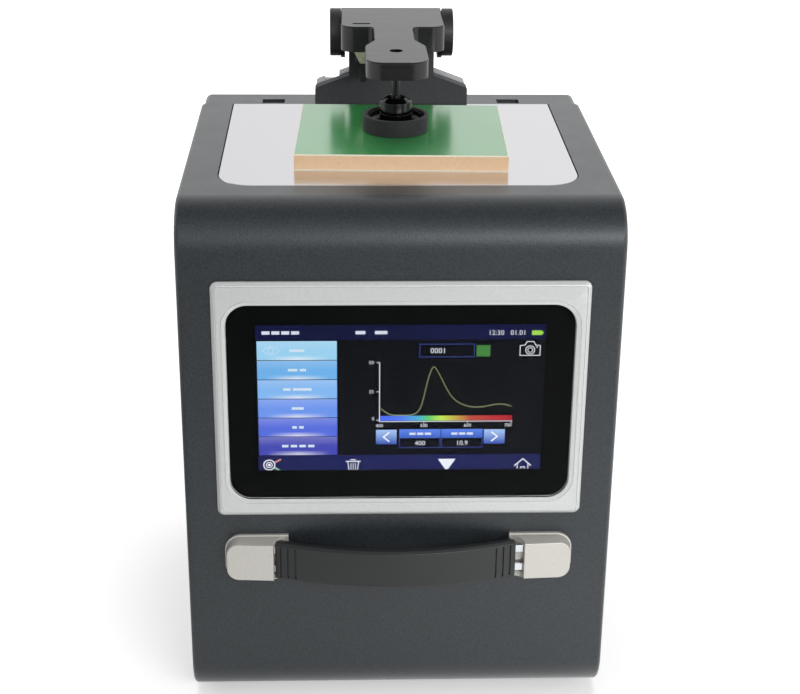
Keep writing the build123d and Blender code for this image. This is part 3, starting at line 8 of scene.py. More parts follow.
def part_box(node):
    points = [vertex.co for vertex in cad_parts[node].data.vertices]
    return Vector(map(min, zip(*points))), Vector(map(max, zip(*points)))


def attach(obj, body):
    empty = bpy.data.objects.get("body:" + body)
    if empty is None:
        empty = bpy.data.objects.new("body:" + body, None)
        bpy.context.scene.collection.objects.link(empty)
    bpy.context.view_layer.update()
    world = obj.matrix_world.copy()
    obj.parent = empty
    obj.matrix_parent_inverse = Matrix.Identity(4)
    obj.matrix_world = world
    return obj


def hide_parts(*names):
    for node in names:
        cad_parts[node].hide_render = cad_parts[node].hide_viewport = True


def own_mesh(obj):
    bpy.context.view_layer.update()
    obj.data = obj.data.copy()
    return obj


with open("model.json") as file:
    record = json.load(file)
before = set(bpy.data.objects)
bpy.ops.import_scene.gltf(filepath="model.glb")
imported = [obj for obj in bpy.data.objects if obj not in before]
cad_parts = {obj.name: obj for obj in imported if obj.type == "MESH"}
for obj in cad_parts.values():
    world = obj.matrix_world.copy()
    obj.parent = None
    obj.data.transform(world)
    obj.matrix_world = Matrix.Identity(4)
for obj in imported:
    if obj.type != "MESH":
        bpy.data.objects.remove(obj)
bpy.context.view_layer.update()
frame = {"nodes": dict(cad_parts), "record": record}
MM = 0.001
SLOT_OF = {part["node"]: part["material_slot"] for part in frame["record"]["subparts"]}

# display, in metres: the lit face, the glass behind it and the picture's centre
LIT_FACE = -0.10745
GLASS_BACK = -0.10855
SCREEN_Z = 0.1956
LAYER = 0.08 * MM


# ------------------------------------------------------------------ small tools
def deselect():
    bpy.ops.object.select_all(action="DESELECT")


def pick(piece):
    """Selects one piece alone and makes it the active one."""
    deselect()
    piece.select_set(True)
    bpy.context.view_layer.objects.active = piece


def settle(piece, name):
    """Leaves a finished piece at the origin, unturned and unscaled, under its own name."""
    pick(piece)
    bpy.ops.object.transform_apply(location=True, rotation=True, scale=True)
    piece.name = name
    piece.data.name = name
    return piece


def joined(pieces, name):
    """One piece from several."""
    deselect()
    for piece in pieces:
        piece.select_set(True)
    bpy.context.view_layer.objects.active = pieces[0]
    if len(pieces) > 1:
        bpy.ops.object.join()
    return settle(bpy.context.view_layer.objects.active, name)


def body_of_node(node):
    for body, members in frame["record"]["behaviour"]["bodies"].items():
        if node in members:
            return body
    return None


def stand_in(node, ending):
    """A copy of a CAD piece, merged into one skin, that stands for that piece."""
    source = frame["nodes"][node]
    piece = bpy.data.objects.new(node + ending, source.data.copy())
    bpy.context.scene.collection.objects.link(piece)
    pick(piece)
    bpy.ops.object.mode_set(mode="EDIT")
    bpy.ops.mesh.select_all(action="SELECT")
    bpy.ops.mesh.remove_doubles(threshold=0.002 * MM)
    bpy.ops.object.mode_set(mode="OBJECT")
    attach(piece, body_of_node(node))
    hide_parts(node)
    return piece


def smooth_roundings(piece):
    """Flat faces keep their own direction, so that only the roundings turn the light."""
    bpy.ops.object.shade_smooth_by_angle(angle=math.radians(40))
    facing = piece.modifiers.new("facing", "WEIGHTED_NORMAL")
    facing.keep_sharp = True
    bpy.ops.object.modifier_apply(modifier=facing.name)


def softened(node, width, segments=3, angle=32.0):
    """A copy of a CAD piece with its sharp edges rounded in the mesh."""
    piece = stand_in(node, "_rounded")
    bpy.ops.object.mode_set(mode="EDIT")
    bpy.ops.mesh.select_all(action="SELECT")
    bpy.ops.mesh.dissolve_limited(angle_limit=math.radians(0.4))
    bpy.ops.object.mode_set(mode="OBJECT")
    rounding = piece.modifiers.new("rounding", "BEVEL")
    rounding.width = width * MM
    rounding.segments = segments
    rounding.limit_method = "ANGLE"
    rounding.angle_limit = math.radians(angle)
    bpy.ops.object.modifier_apply(modifier=rounding.name)
    smooth_roundings(piece)
    return piece


def coiled(node):
    """A copy of a wound spring, with the flats of its wire smoothed into a round."""
    piece = stand_in(node, "_coil")
    bpy.ops.object.shade_smooth_by_angle(angle=math.radians(50))
    return piece


# ------------------------------------------------------------------ camera, floor and light
def set_up_camera():
    """Long lens, in front of and above the instrument, rolled slightly."""
    place = Vector((-0.031226, -0.934167, 0.581714))
    aim = Vector((-0.000465, -0.10775, 0.225008))
    roll = math.radians(0.606)
    bpy.ops.object.camera_add(location=place)
    camera = bpy.context.object
    camera.name = "camera"
    turn = (aim - place).to_track_quat("-Z", "Y").to_matrix() @ Matrix.Rotation(roll, 3, "Z")
    camera.rotation_euler = turn.to_euler()
    camera.data.sensor_width = 36.0
    camera.data.lens = 76.27
    camera.data.shift_y = 0.00125
    bpy.context.scene.camera = camera


def softbox(name, place, aim, width, height, power, mirrored=True):
    """A rectangular lamp that faces the instrument, with or without its own reflection."""
    bpy.ops.object.light_add(type="AREA", location=place)
    lamp = bpy.context.object
    lamp.name = name
    lamp.data.shape = "RECTANGLE"
    lamp.data.size = width
    lamp.data.size_y = height
    lamp.data.energy = power
    lamp.visible_glossy = mirrored
    lamp.visible_camera = False
    lamp.rotation_euler = (Vector(aim) - Vector(place)).to_track_quat("-Z", "Y").to_euler()


def seen_rays(nodes, links):
    """1 where the camera, a mirror or glass looks, 0 where only light is gathered."""
    path = nodes.new("ShaderNodeLightPath")
    polished = nodes.new("ShaderNodeMath")
    polished.operation = "MAXIMUM"
    links.new(path.outputs["Is Glossy Ray"], polished.inputs[0])
    links.new(path.outputs["Is Transmission Ray"], polished.inputs[1])
    seen = nodes.new("ShaderNodeMath")
    seen.operation = "MAXIMUM"
    links.new(path.outputs["Is Camera Ray"], seen.inputs[0])
    links.new(polished.outputs["Value"], seen.inputs[1])
    return seen.outputs["Value"]


def stretched(nodes, links, value, span, levels):
    """A value stretched from one span onto another, and held within it."""
    change = nodes.new("ShaderNodeMapRange")
    change.inputs["From Min"].default_value = span[0]
    change.inputs["From Max"].default_value = span[1]
    change.inputs["To Min"].default_value = levels[0]
    change.inputs["To Max"].default_value = levels[1]
    links.new(value, change.inputs["Value"])
    return change.outputs["Result"]


# how bright the room is by its height: the sine of the elevation, and the level there
ROOM_LEVELS = [(0.0, 1.0), (1.0, 0.2), (0.6, 1.0), (0.86, 0.75)]


def set_up_world():
    """Soft grey room for light, white where the camera, metal or glass looks into it."""
    world = bpy.data.worlds.new("studio")
    bpy.context.scene.world = world
    world.use_nodes = True
    nodes, links = world.node_tree.nodes, world.node_tree.links
    room = nodes["Background"]
    room.inputs["Color"].default_value = (1.0, 1.0, 1.0, 1.0)
    room.inputs["Strength"].default_value = 0.36
    white = nodes.new("ShaderNodeBackground")
    white.inputs["Color"].default_value = (1.0, 1.0, 1.0, 1.0)
    # the ceiling is dimmer than the walls, which is what a bent sheet mirrors
    outlook = nodes.new("ShaderNodeSeparateXYZ")
    links.new(nodes.new("ShaderNodeTexCoord").outputs["Generated"], outlook.inputs["Vector"])
    ceiling = nodes.new("ShaderNodeValToRGB")
    marks = ceiling.color_ramp.elements
    for mark, (height, level) in zip(marks, ROOM_LEVELS[:2]):
        mark.position = height
        mark.color = (level, level, level, 1.0)
    for height, level in ROOM_LEVELS[2:]:
        marks.new(height).color = (level, level, level, 1.0)
    links.new(outlook.outputs["Z"], ceiling.inputs["Fac"])
    # the left side is dimmer than the right, and the camera sees plain white all round
    level = nodes.new("ShaderNodeMath")
    level.operation = "MULTIPLY"
    links.new(ceiling.outputs["Color"], level.inputs[0])
    links.new(stretched(nodes, links, outlook.outputs["X"], (-0.8, 0.1), (0.7, 1.0)), level.inputs[1])
    seen_level = nodes.new("ShaderNodeMath")
    seen_level.operation = "MAXIMUM"
    links.new(level.outputs["Value"], seen_level.inputs[0])
    links.new(nodes.new("ShaderNodeLightPath").outputs["Is Camera Ray"], seen_level.inputs[1])
    links.new(seen_level.outputs["Value"], white.inputs["Strength"])
    mix = nodes.new("ShaderNodeMixShader")
    links.new(seen_rays(nodes, links), mix.inputs["Fac"])
    links.new(room.outputs["Background"], mix.inputs[1])
    links.new(white.outputs["Background"], mix.inputs[2])
    links.new(mix.outputs["Shader"], nodes["World Output"].inputs["Surface"])


# where the table round the instrument is brightest
BRIGHT_SPOT = (0.3, -0.2, 0.0)
MIDDLE = (0.0, 0.0, 0.0)
# glow of the floor against distance, each a span in metres and the levels at its two ends
SPOT_GLOW = ((0.2, 0.68), (0.66, 0.0))
SIDE_GLOW = ((0.45, 0.7), (0.0, 0.95))
SEEN_GLOW = ((0.5, 1.6), (0.34, 0.9))
# paleness of the floor: as the camera sees it, and how it fades for mirrors
FLOOR_PALE = 0.93
FLOOR_FADE = ((0.25, 0.9), (FLOOR_PALE, 0.25))


def span_from(nodes, links, place, point):
    """Distance from a point, in metres."""
    distance = nodes.new("ShaderNodeVectorMath")
    distance.operation = "DISTANCE"
    links.new(place, distance.inputs[0])
    distance.inputs[1].default_value = point
    return distance.outputs["Value"]


def set_up_floor():
    """Wide pale floor, lit up to white where it is seen, with the instrument's shadow left in it."""
    bpy.ops.mesh.primitive_plane_add(size=12.0, location=(0.0, 0.0, 0.0))
    floor = bpy.context.object
    floor.name = "studio_floor"
    material = bpy.data.materials.new("studio_floor")
    material.use_nodes = True
    shader = material.node_tree.nodes["Principled BSDF"]
    shader.inputs["Roughness"].default_value = 0.9
    shader.inputs["Specular IOR Level"].default_value = 0.0
    shader.inputs["Emission Color"].default_value = (1.0, 1.0, 1.0, 1.0)
    nodes, links = material.node_tree.nodes, material.node_tree.links
    camera_looks = nodes.new("ShaderNodeLightPath").outputs["Is Camera Ray"]
    place = nodes.new("ShaderNodeTexCoord").outputs["Object"]
    # far off, the glow grows for the camera; for mirrors it fades with the distance from the right-hand side
    # but is bright again far out on both sides, which draws the streaks on upright rounded edges
    from_spot = span_from(nodes, links, place, BRIGHT_SPOT)
    spot_glow = stretched(nodes, links, from_spot, *SPOT_GLOW)
    sideways = nodes.new("ShaderNodeSeparateXYZ")
    links.new(place, sideways.inputs["Vector"])
    either_side = nodes.new("ShaderNodeMath")
    either_side.operation = "ABSOLUTE"
    links.new(sideways.outputs["X"], either_side.inputs[0])
    mirror_glow = nodes.new("ShaderNodeMath")
    mirror_glow.operation = "MAXIMUM"
    links.new(spot_glow, mirror_glow.inputs[0])
    links.new(stretched(nodes, links, either_side.outputs["Value"], *SIDE_GLOW), mirror_glow.inputs[1])
    glows = nodes.new("ShaderNodeMix")
    links.new(camera_looks, glows.inputs["Factor"])
    links.new(mirror_glow.outputs["Value"], glows.inputs["A"])
    links.new(stretched(nodes, links, span_from(nodes, links, place, MIDDLE), *SEEN_GLOW), glows.inputs["B"])
    glow = nodes.new("ShaderNodeMath")
    glow.operation = "MULTIPLY"
    links.new(seen_rays(nodes, links), glow.inputs[0])
    links.new(glows.outputs["Result"], glow.inputs[1])
    links.new(glow.outputs["Value"], shader.inputs["Emission Strength"])
    # the floor's own colour fades in the same way for all but the camera
    fading = stretched(nodes, links, from_spot, *FLOOR_FADE)
    colours = nodes.new("ShaderNodeMix")
    links.new(camera_looks, colours.inputs["Factor"])
    links.new(fading, colours.inputs["A"])
    colours.inputs["B"].default_value = FLOOR_PALE
    links.new(colours.outputs["Result"], shader.inputs["Base Color"])
    floor.data.materials.append(material)


def set_up_light():
    middle = (0.0, 0.0, 0.2)
    softbox("top_softbox", (0.0, 0.3, 1.7), middle, 1.3, 0.8, 7.5, mirrored=False)
    softbox("key_softbox", (0.62, -1.5, 0.85), (0.0, -0.1, 0.25), 0.9, 0.5, 12.5)
    softbox("left_softbox", (-1.6, 0.3, 0.9), middle, 1.0, 1.0, 4.0)
    softbox("rear_softbox", (0.0, 1.2, 1.6), middle, 1.6, 0.8, 9.0, mirrored=False)
    softbox("right_softbox", (1.7, -0.5, 0.6), middle, 0.9, 0.7, 6.0)


# ------------------------------------------------------------------ making finishes
def srgb(code):
    """Linear colour of a six-figure web colour."""
    parts = [int(code[i:i + 2], 16) / 255 for i in (1, 3, 5)]
    return tuple(p / 12.92 if p <= 0.04045 else ((p + 0.055) / 1.055) ** 2.4 for p in parts) + (1.0,)


class Finish:
    """A material on the piece's own coordinates, built up from plain steps."""

    def __init__(self, name, colour, roughness, metallic=0.0, specular=0.5):
        self.name = name
        self.material = bpy.data.materials.new(name + "_finish")
        self.material.use_nodes = True
        self.nodes = self.material.node_tree.nodes
        self.links = self.material.node_tree.links
        self.shader = self.nodes["Principled BSDF"]
        self.shader.inputs["Base Color"].default_value = srgb(colour)
        self.shader.inputs["Roughness"].default_value = roughness
        self.shader.inputs["Metallic"].default_value = metallic
        self.shader.inputs["Specular IOR Level"].default_value = specular
        self.relief = None
        self.place = self.nodes.new("ShaderNodeTexCoord").outputs["Object"]

    def noise(self, scale, detail=2.0, stretch=(1.0, 1.0, 1.0)):
        """Noise with so many features to the metre, drawn out along an axis by stretch."""
        mapping = self.nodes.new("ShaderNodeMapping")
        mapping.inputs["Scale"].default_value = stretch
        texture = self.nodes.new("ShaderNodeTexNoise")
        texture.inputs["Scale"].default_value = scale
        texture.inputs["Detail"].default_value = detail
        self.links.new(self.place, mapping.inputs["Vector"])
        self.links.new(mapping.outputs["Vector"], texture.inputs["Vector"])
        return texture.outputs["Fac"]

    def axis(self, letter):
        """Distance along one axis of the instrument, in metres."""
        split = self.nodes.new("ShaderNodeSeparateXYZ")
        self.links.new(self.place, split.inputs["Vector"])
        return split.outputs[letter]

    def spread(self, value, low_in, high_in, low_out, high_out):
        """A value stretched from one range onto another, and held within it."""
        step = self.nodes.new("ShaderNodeMapRange")
        step.inputs["From Min"].default_value = low_in
        step.inputs["From Max"].default_value = high_in
        step.inputs["To Min"].default_value = low_out
        step.inputs["To Max"].default_value = high_out
        self.links.new(value, step.inputs["Value"])
        return step.outputs["Result"]

    def maths(self, operation, first, second):
        """One sum on two values or numbers."""
        step = self.nodes.new("ShaderNodeMath")
        step.operation = operation
        for socket, term in zip(step.inputs, (first, second)):
            if isinstance(term, (int, float)):
                socket.default_value = term
            else:
                self.links.new(term, socket)
        return step.outputs["Value"]

    def shades(self, value, stops, steps=False):
        """Colour picked by a value from 0 to 1, from (place, colour) stops."""
        ramp = self.nodes.new("ShaderNodeValToRGB")
        if steps:
            ramp.color_ramp.interpolation = "CONSTANT"
        marks = ramp.color_ramp.elements
        for mark, (place, colour) in zip(marks, stops[:2]):
            mark.position = place
            mark.color = srgb(colour)
        for place, colour in stops[2:]:
            marks.new(place).color = srgb(colour)
        self.links.new(value, ramp.inputs["Fac"])
        return ramp.outputs["Color"]

    def blend_colours(self, amount, first, second):
        """first where amount is 0, second where it is 1."""
        mix = self.nodes.new("ShaderNodeMix")
        mix.data_type = "RGBA"
        self.links.new(amount, mix.inputs["Factor"])
        for socket, colour in ((mix.inputs[6], first), (mix.inputs[7], second)):
            if isinstance(colour, str):
                socket.default_value = srgb(colour)
            else:
                self.links.new(colour, socket)
        return mix.outputs[2]

    def drive(self, socket, value):
        self.links.new(value, self.shader.inputs[socket])
        return self

    def mottle(self, dark, light, scale, detail=3.0, stretch=(1.0, 1.0, 1.0)):
        """Base colour that wanders between two near shades."""
        patch = self.noise(scale, detail, stretch)
        return self.drive("Base Color", self.shades(patch, [(0.3, dark), (0.7, light)]))

    def rough(self, low, high, scale, detail=3.0, stretch=(1.0, 1.0, 1.0)):
        return self.drive("Roughness", self.spread(self.noise(scale, detail, stretch), 0.3, 0.7, low, high))

    def bumps(self, height, scale, detail=2.0, stretch=(1.0, 1.0, 1.0)):
        """Relief of the given height in metres, added to what is there already."""
        return self.raise_by(self.noise(scale, detail, stretch), height)

    def raise_by(self, value, height):
        bump = self.nodes.new("ShaderNodeBump")
        bump.inputs["Distance"].default_value = height
        self.links.new(value, bump.inputs["Height"])
        if self.relief is not None:
            self.links.new(self.relief, bump.inputs["Normal"])
        self.relief = bump.outputs["Normal"]
        return self.drive("Normal", self.relief)

    def round_edges(self, radius):
        """Worn, slightly rounded edges. Comes before any bumps."""
        edge = self.nodes.new("ShaderNodeBevel")
        edge.samples = 4
        edge.inputs["Radius"].default_value = radius * MM
        self.relief = edge.outputs["Normal"]
        return self.drive("Normal", self.relief)

    def clear_coat(self, weight, roughness, ior=1.5):
        self.shader.inputs["Coat Weight"].default_value = weight
        self.shader.inputs["Coat Roughness"].default_value = roughness
        self.shader.inputs["Coat IOR"].default_value = ior
        return self


# ------------------------------------------------------------------ the instrument's finishes
def powder_coat(name, dark, light):
    """Fine-grained baked powder paint, a little blue in its shine."""
    made = Finish(name, dark, 0.44, specular=0.44).round_edges(0.4)
    made.mottle(dark, light, 1000.0, 1.0)
    made.rough(0.42, 0.48, 60.0)
    made.shader.inputs["Specular Tint"].default_value = (0.9, 0.97, 1.0, 1.0)
    return made.bumps(0.14 * MM, 850.0, 2.0).clear_coat(1.0, 0.36, 1.3)


def bare_plate():
    """Satin stainless plate, slightly brushed across."""
    made = Finish("port_silver", "#dbdbde", 0.2, metallic=1.0).round_edges(0.15)
    made.rough(0.17, 0.21, 300.0, 4.0, stretch=(0.15, 1.0, 1.0))
    return made.bumps(0.006 * MM, 900.0, 3.0, stretch=(0.1, 1.0, 1.0))


def blasted_silver(name, dark, light, roughness=0.42, metallic=0.55):
    """Bead-blasted and anodised or painted silver."""
    made = Finish(name, light, roughness, metallic=metallic).round_edges(0.12)
    made.mottle(dark, light, 700.0, 4.0)
    made.rough(roughness - 0.02, roughness + 0.03, 60.0)
    return made.bumps(0.012 * MM, 2400.0, 2.0)


def moulded(name, dark, light, roughness=0.38, specular=0.5, grain=0.012):
    """Moulded or anodised dark part with a fine skin."""
    made = Finish(name, dark, roughness, specular=specular).round_edges(0.25)
    made.mottle(dark, light, 600.0)
    made.rough(roughness - 0.02, roughness + 0.02, 500.0)
    return made.bumps(grain * MM, 2200.0, 2.0)


def milled_black():
    """Black anodised aluminium with fine milling lines across the arm."""
    made = Finish("clamp_black", "#08090b", 0.26, specular=0.52).round_edges(0.3)
    made.mottle("#07080a", "#0b0c0e", 400.0, stretch=(0.1, 1.0, 1.0))
    return made.rough(0.24, 0.28, 600.0, 1.0, stretch=(0.04, 1.0, 1.0))


def rubber(name, dark, light):
    made = Finish(name, dark, 0.72, specular=0.3).round_edges(0.3)
    made.mottle(dark, light, 500.0, 4.0)
    made.rough(0.66, 0.8, 120.0)
    made.shader.inputs["Sheen Weight"].default_value = 0.08
    return made.bumps(0.03 * MM, 1700.0, 3.0)


def turned_steel(name, colour, roughness=0.24):
    """Bright turned or drawn steel, with fine lines round it."""
    made = Finish(name, colour, roughness, metallic=1.0)
    made.rough(roughness - 0.06, roughness + 0.08, 500.0, 3.0, stretch=(1.0, 1.0, 8.0))
    return made.bumps(0.004 * MM, 1200.0, 2.0, stretch=(1.0, 1.0, 10.0))


def gloss_black(name, specular=0.5):
    made = Finish(name, "#08080a", 0.13, specular=specular)
    made.rough(0.1, 0.16, 300.0)
    return made.bumps(0.003 * MM, 700.0, 2.0)


def coated_glass():
    """Touch glass with an anti-glare coat."""
    made = Finish("touch_glass", "#ffffff", 0.0)
    made.shader.inputs["Transmission Weight"].default_value = 1.0
    made.shader.inputs["IOR"].default_value = 1.14
    smear = made.shades(made.noise(30.0, 2.0), [(0.3, "#fafbfc"), (0.7, "#ffffff")])
    return made.drive("Base Color", smear)


def lens_glass():
    made = Finish("lens_glass", "#f2f6ff", 0.02)
    made.shader.inputs["Transmission Weight"].default_value = 1.0
    made.shader.inputs["IOR"].default_value = 1.52
    made.rough(0.01, 0.03, 200.0)
    return made


def unlit_display():
    """Black of a switched-on display, with a faint blue glow."""
    made = Finish("display", "#000000", 0.5, specular=0.0)
    made.shader.inputs["Emission Strength"].default_value = 1.0
    glow = made.noise(12.0, 1.0)
    made.drive("Emission Color", made.shades(glow, [(0.3, "#030408"), (0.7, "#07080f")]))
    return made


def grating_mirror():
    """Ruled mirror, with the faint colours that its ruling splits out of the light painted into its base
    colour along its height.
    """
    made = Finish("grating_mirror", "#c8ccd8", 0.12, metallic=1.0)
    lines = made.nodes.new("ShaderNodeTexWave")
    lines.inputs["Scale"].default_value = 900.0
    made.links.new(made.place, lines.inputs["Vector"])
    # painted diffraction: fixed blue-to-red colours by height in the base colour stand in for the light the
    # ruling splits
    tint = made.spread(made.axis("Z"), 0.174, 0.199, 0.0, 1.0)
    made.drive("Base Color", made.shades(tint, [(0.0, "#9db4ff"), (1.0, "#ff9d9d"),
                                                (0.35, "#a8ffc0"), (0.65, "#fff3a0")]))
    return made.raise_by(lines.outputs["Fac"], 0.002 * MM)


def circuit_board():
    """Green solder mask over a faint grid of tracks."""
    made = Finish("circuit_green", "#1d5a34", 0.3)
    tracks = made.nodes.new("ShaderNodeTexBrick")
    tracks.inputs["Scale"].default_value = 160.0
    tracks.inputs["Color1"].default_value = srgb("#1f6338")
    tracks.inputs["Color2"].default_value = srgb("#1a5530")
    tracks.inputs["Mortar"].default_value = srgb("#2f8350")
    tracks.inputs["Mortar Size"].default_value = 0.03
    made.links.new(made.place, tracks.inputs["Vector"])
    made.drive("Base Color", tracks.outputs["Color"])
    return made.bumps(0.01 * MM, 900.0)


def painted_board():
    """Fibreboard with a white sealing coat on both faces and green lacquer on top."""
    made = Finish("board_green", "#2c7f3d", 0.1)
    height = made.axis("Z")
    fibre = made.noise(2300.0, 5.0, stretch=(0.5, 0.5, 1.6))
    patches = made.noise(120.0, 3.0)
    core = made.shades(fibre, [(0.3, "#dcb48b"), (0.7, "#f2d4b0")])
    core = made.blend_colours(made.spread(patches, 0.35, 0.75, 0.0, 0.45), core, "#e3b88e")
    low_coat = made.maths("LESS_THAN", height, 0.30305)
    high_coat = made.maths("GREATER_THAN", height, 0.31075)
    sealed = made.blend_colours(made.maths("MAXIMUM", low_coat, high_coat), core, "#f0e7d2")
    lacquer = made.maths("GREATER_THAN", height, 0.31147)
    green = made.shades(made.noise(30.0, 2.0), [(0.3, "#368f4a"), (0.7, "#3b9850")])
    made.drive("Base Color", made.blend_colours(lacquer, sealed, green))
    made.drive("Roughness", made.spread(lacquer, 0.0, 1.0, 0.72, 0.2))
    made.drive("Coat Weight", lacquer)
    made.shader.inputs["Coat Roughness"].default_value = 0.18
    made.shader.inputs["Coat IOR"].default_value = 1.5
    edge_only = made.maths("SUBTRACT", 1.0, lacquer)
    return made.raise_by(made.maths("MULTIPLY", fibre, edge_only), 0.12 * MM)


def make_finishes():
    """One finish for each of the record's material slots."""
    made = [
        powder_coat("powder_coat", "#0b0f12", "#24292d"),
        bare_plate(),
        blasted_silver("bezel_silver", "#d3d5d4", "#d9dbda", 0.4, 0.3),
        blasted_silver("cap_silver", "#c8c5be", "#cdcbc4", 0.36, 0.4),
        coated_glass(),
        unlit_display(),
        moulded("strap_rubber", "#191b1c", "#1d1f20", 0.4, 0.24, 0.02).clear_coat(1.0, 0.3, 1.3),
        turned_steel("spring_steel", "#c9ccd0", 0.22),
        turned_steel("screw_steel", "#8f9194", 0.3),
        milled_black(),
        moulded("bracket_grey", "#97989a", "#a0a1a3", 0.5, 0.4, 0.03),
        moulded("bracket_paint", "#3a3d40", "#404346", 0.6, 0.3, 0.03),
        gloss_black("press_gloss", 0.36),
        gloss_black("blued_steel", 0.36),
        rubber("press_rubber", "#232224", "#2b2a2d"),
        turned_steel("lever_steel", "#cfc8b4", 0.3),
        moulded("black_plastic", "#161617", "#1d1d1f", 0.42),
        turned_steel("bronze", "#b08a4e", 0.35),
        rubber("foot_rubber", "#1b1b1c", "#242425"),
        painted_board(),
        blasted_silver("zinc_sheet", "#9fa3a6", "#b9bcbe", 0.38, 0.9),
        moulded("black_aluminium", "#1a1b1c", "#222324", 0.4),
        lens_glass(),
        grating_mirror(),
        circuit_board(),
        moulded("battery_blue", "#1f4a8a", "#27589e", 0.3),
    ]
    return {finish.name: finish.material for finish in made}


def paint(piece, material):
    piece.data.materials.clear()
    piece.data.materials.append(material)


def dress(finishes, rounded):
    """Every CAD piece, and every rounded piece that stands for one, gets its slot's finish."""
    for name, node in frame["nodes"].items():
        paint(node, finishes[SLOT_OF[name]])
    for name, piece in rounded.items():
        paint(piece, finishes[OWN_FINISH.get(name, SLOT_OF[name])])


# ------------------------------------------------------------------ the display's picture
def lit(name, colour, strength=1.0):
    """Plain glowing colour of the display, hardly reflecting."""
    made = Finish(name, "#000000", 0.5, specular=0.0)
    made.shader.inputs["Emission Color"].default_value = srgb(colour)
    cells = made.noise(900.0, 1.0)
    made.drive("Emission Strength", made.spread(cells, 0.3, 0.7, strength * 0.96, strength * 1.04))
    return made.material


def lit_strip(x, z, length, width, angle=0.0, layer=1):
    """One flat strip of the picture, in millimetres from the picture's middle."""
    depth = LIT_FACE - layer * LAYER
    bpy.ops.mesh.primitive_plane_add(size=1.0, location=(x * MM, depth, SCREEN_Z + z * MM),
                                     rotation=(math.pi / 2, 0.0, 0.0))
    strip = bpy.context.object
    strip.scale = (length * MM, width * MM, 1.0)
    upright = Matrix.Rotation(math.pi / 2, 3, "X")
    strip.rotation_euler = (Matrix.Rotation(-angle, 3, "Y") @ upright).to_euler()
    return strip


def lit_box(x_low, x_high, z_low, z_high, layer=1):
    return lit_strip((x_low + x_high) / 2, (z_low + z_high) / 2, x_high - x_low, z_high - z_low, layer=layer)


def lit_line(points, width, layer=2, closed=False):
    """Strips that follow a line from point to point."""
    ends = points[1:] + points[:1] if closed else points[1:]
    strips = []
    for (x1, z1), (x2, z2) in zip(points, ends):
        run, rise = x2 - x1, z2 - z1
        strips.append(lit_strip((x1 + x2) / 2, (z1 + z2) / 2, math.hypot(run, rise) + width * 0.9, width,
                                math.atan2(rise, run), layer))
    return strips


def lit_ring(x, z, radius, width, layer=2):
    bpy.ops.mesh.primitive_torus_add(location=(x * MM, LIT_FACE - layer * LAYER, SCREEN_Z + z * MM),
                                     rotation=(math.pi / 2, 0.0, 0.0), major_radius=radius * MM,
                                     minor_radius=width / 2 * MM, major_segments=32, minor_segments=6)
    ring = bpy.context.object
    ring.scale = (1.0, 1.0, 0.05)
    return ring


def lit_number(digits, x, z, height, layer=3):
    """Plain figures, centred on a point."""
    bpy.ops.object.text_add(location=(x * MM, LIT_FACE - layer * LAYER, SCREEN_Z + z * MM),
                            rotation=(math.pi / 2, 0.0, 0.0))
    text = bpy.context.object
    text.data.body = digits
    text.data.size = height / 0.7 * MM
    text.data.align_x = "CENTER"
    text.data.align_y = "CENTER"
    text.data.resolution_u = 3
    bpy.ops.object.convert(target="MESH")
    return bpy.context.object


def lit_shape(points, layer=2):
    """A filled outline: a strip whose corners are moved to the points, three or four of them."""
    strip = lit_box(-1.0, 1.0, -1.0, 1.0, layer)
    pick(strip)
    bpy.ops.object.transform_apply(location=True, rotation=True, scale=True)
    corners = sorted(strip.data.vertices, key=lambda v: math.atan2(v.co.z - SCREEN_Z, v.co.x))
    wanted = list(points) + [points[-1]] * (4 - len(points))
    for corner, (x, z) in zip(corners, wanted):
        corner.co = (x * MM, LIT_FACE - layer * LAYER, SCREEN_Z + z * MM)
    bpy.ops.object.mode_set(mode="EDIT")
    bpy.ops.mesh.select_all(action="SELECT")
    bpy.ops.mesh.remove_doubles(threshold=0.001 * MM)
    bpy.ops.object.mode_set(mode="OBJECT")
    return strip


def picture_piece(name, parts, material):
    """Joins the parts, gives them a film's thickness towards the glass, and fixes them to the display."""
    piece = joined(parts, name)
    bpy.ops.object.mode_set(mode="EDIT")
    bpy.ops.mesh.select_all(action="SELECT")
    bpy.ops.mesh.extrude_region_move(TRANSFORM_OT_translate={"value": (0.0, -0.03 * MM, 0.0)})
    bpy.ops.mesh.select_all(action="SELECT")
    bpy.ops.mesh.normals_make_consistent(inside=False)
    bpy.ops.object.mode_set(mode="OBJECT")
    paint(piece, material)
    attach(piece, "housing")
    return piece


MENU_LEFT, MENU_RIGHT = -76.5, -34.0
MENU_TOP, MENU_PITCH, MENU_HEIGHT = 33.6, 11.3, 10.9


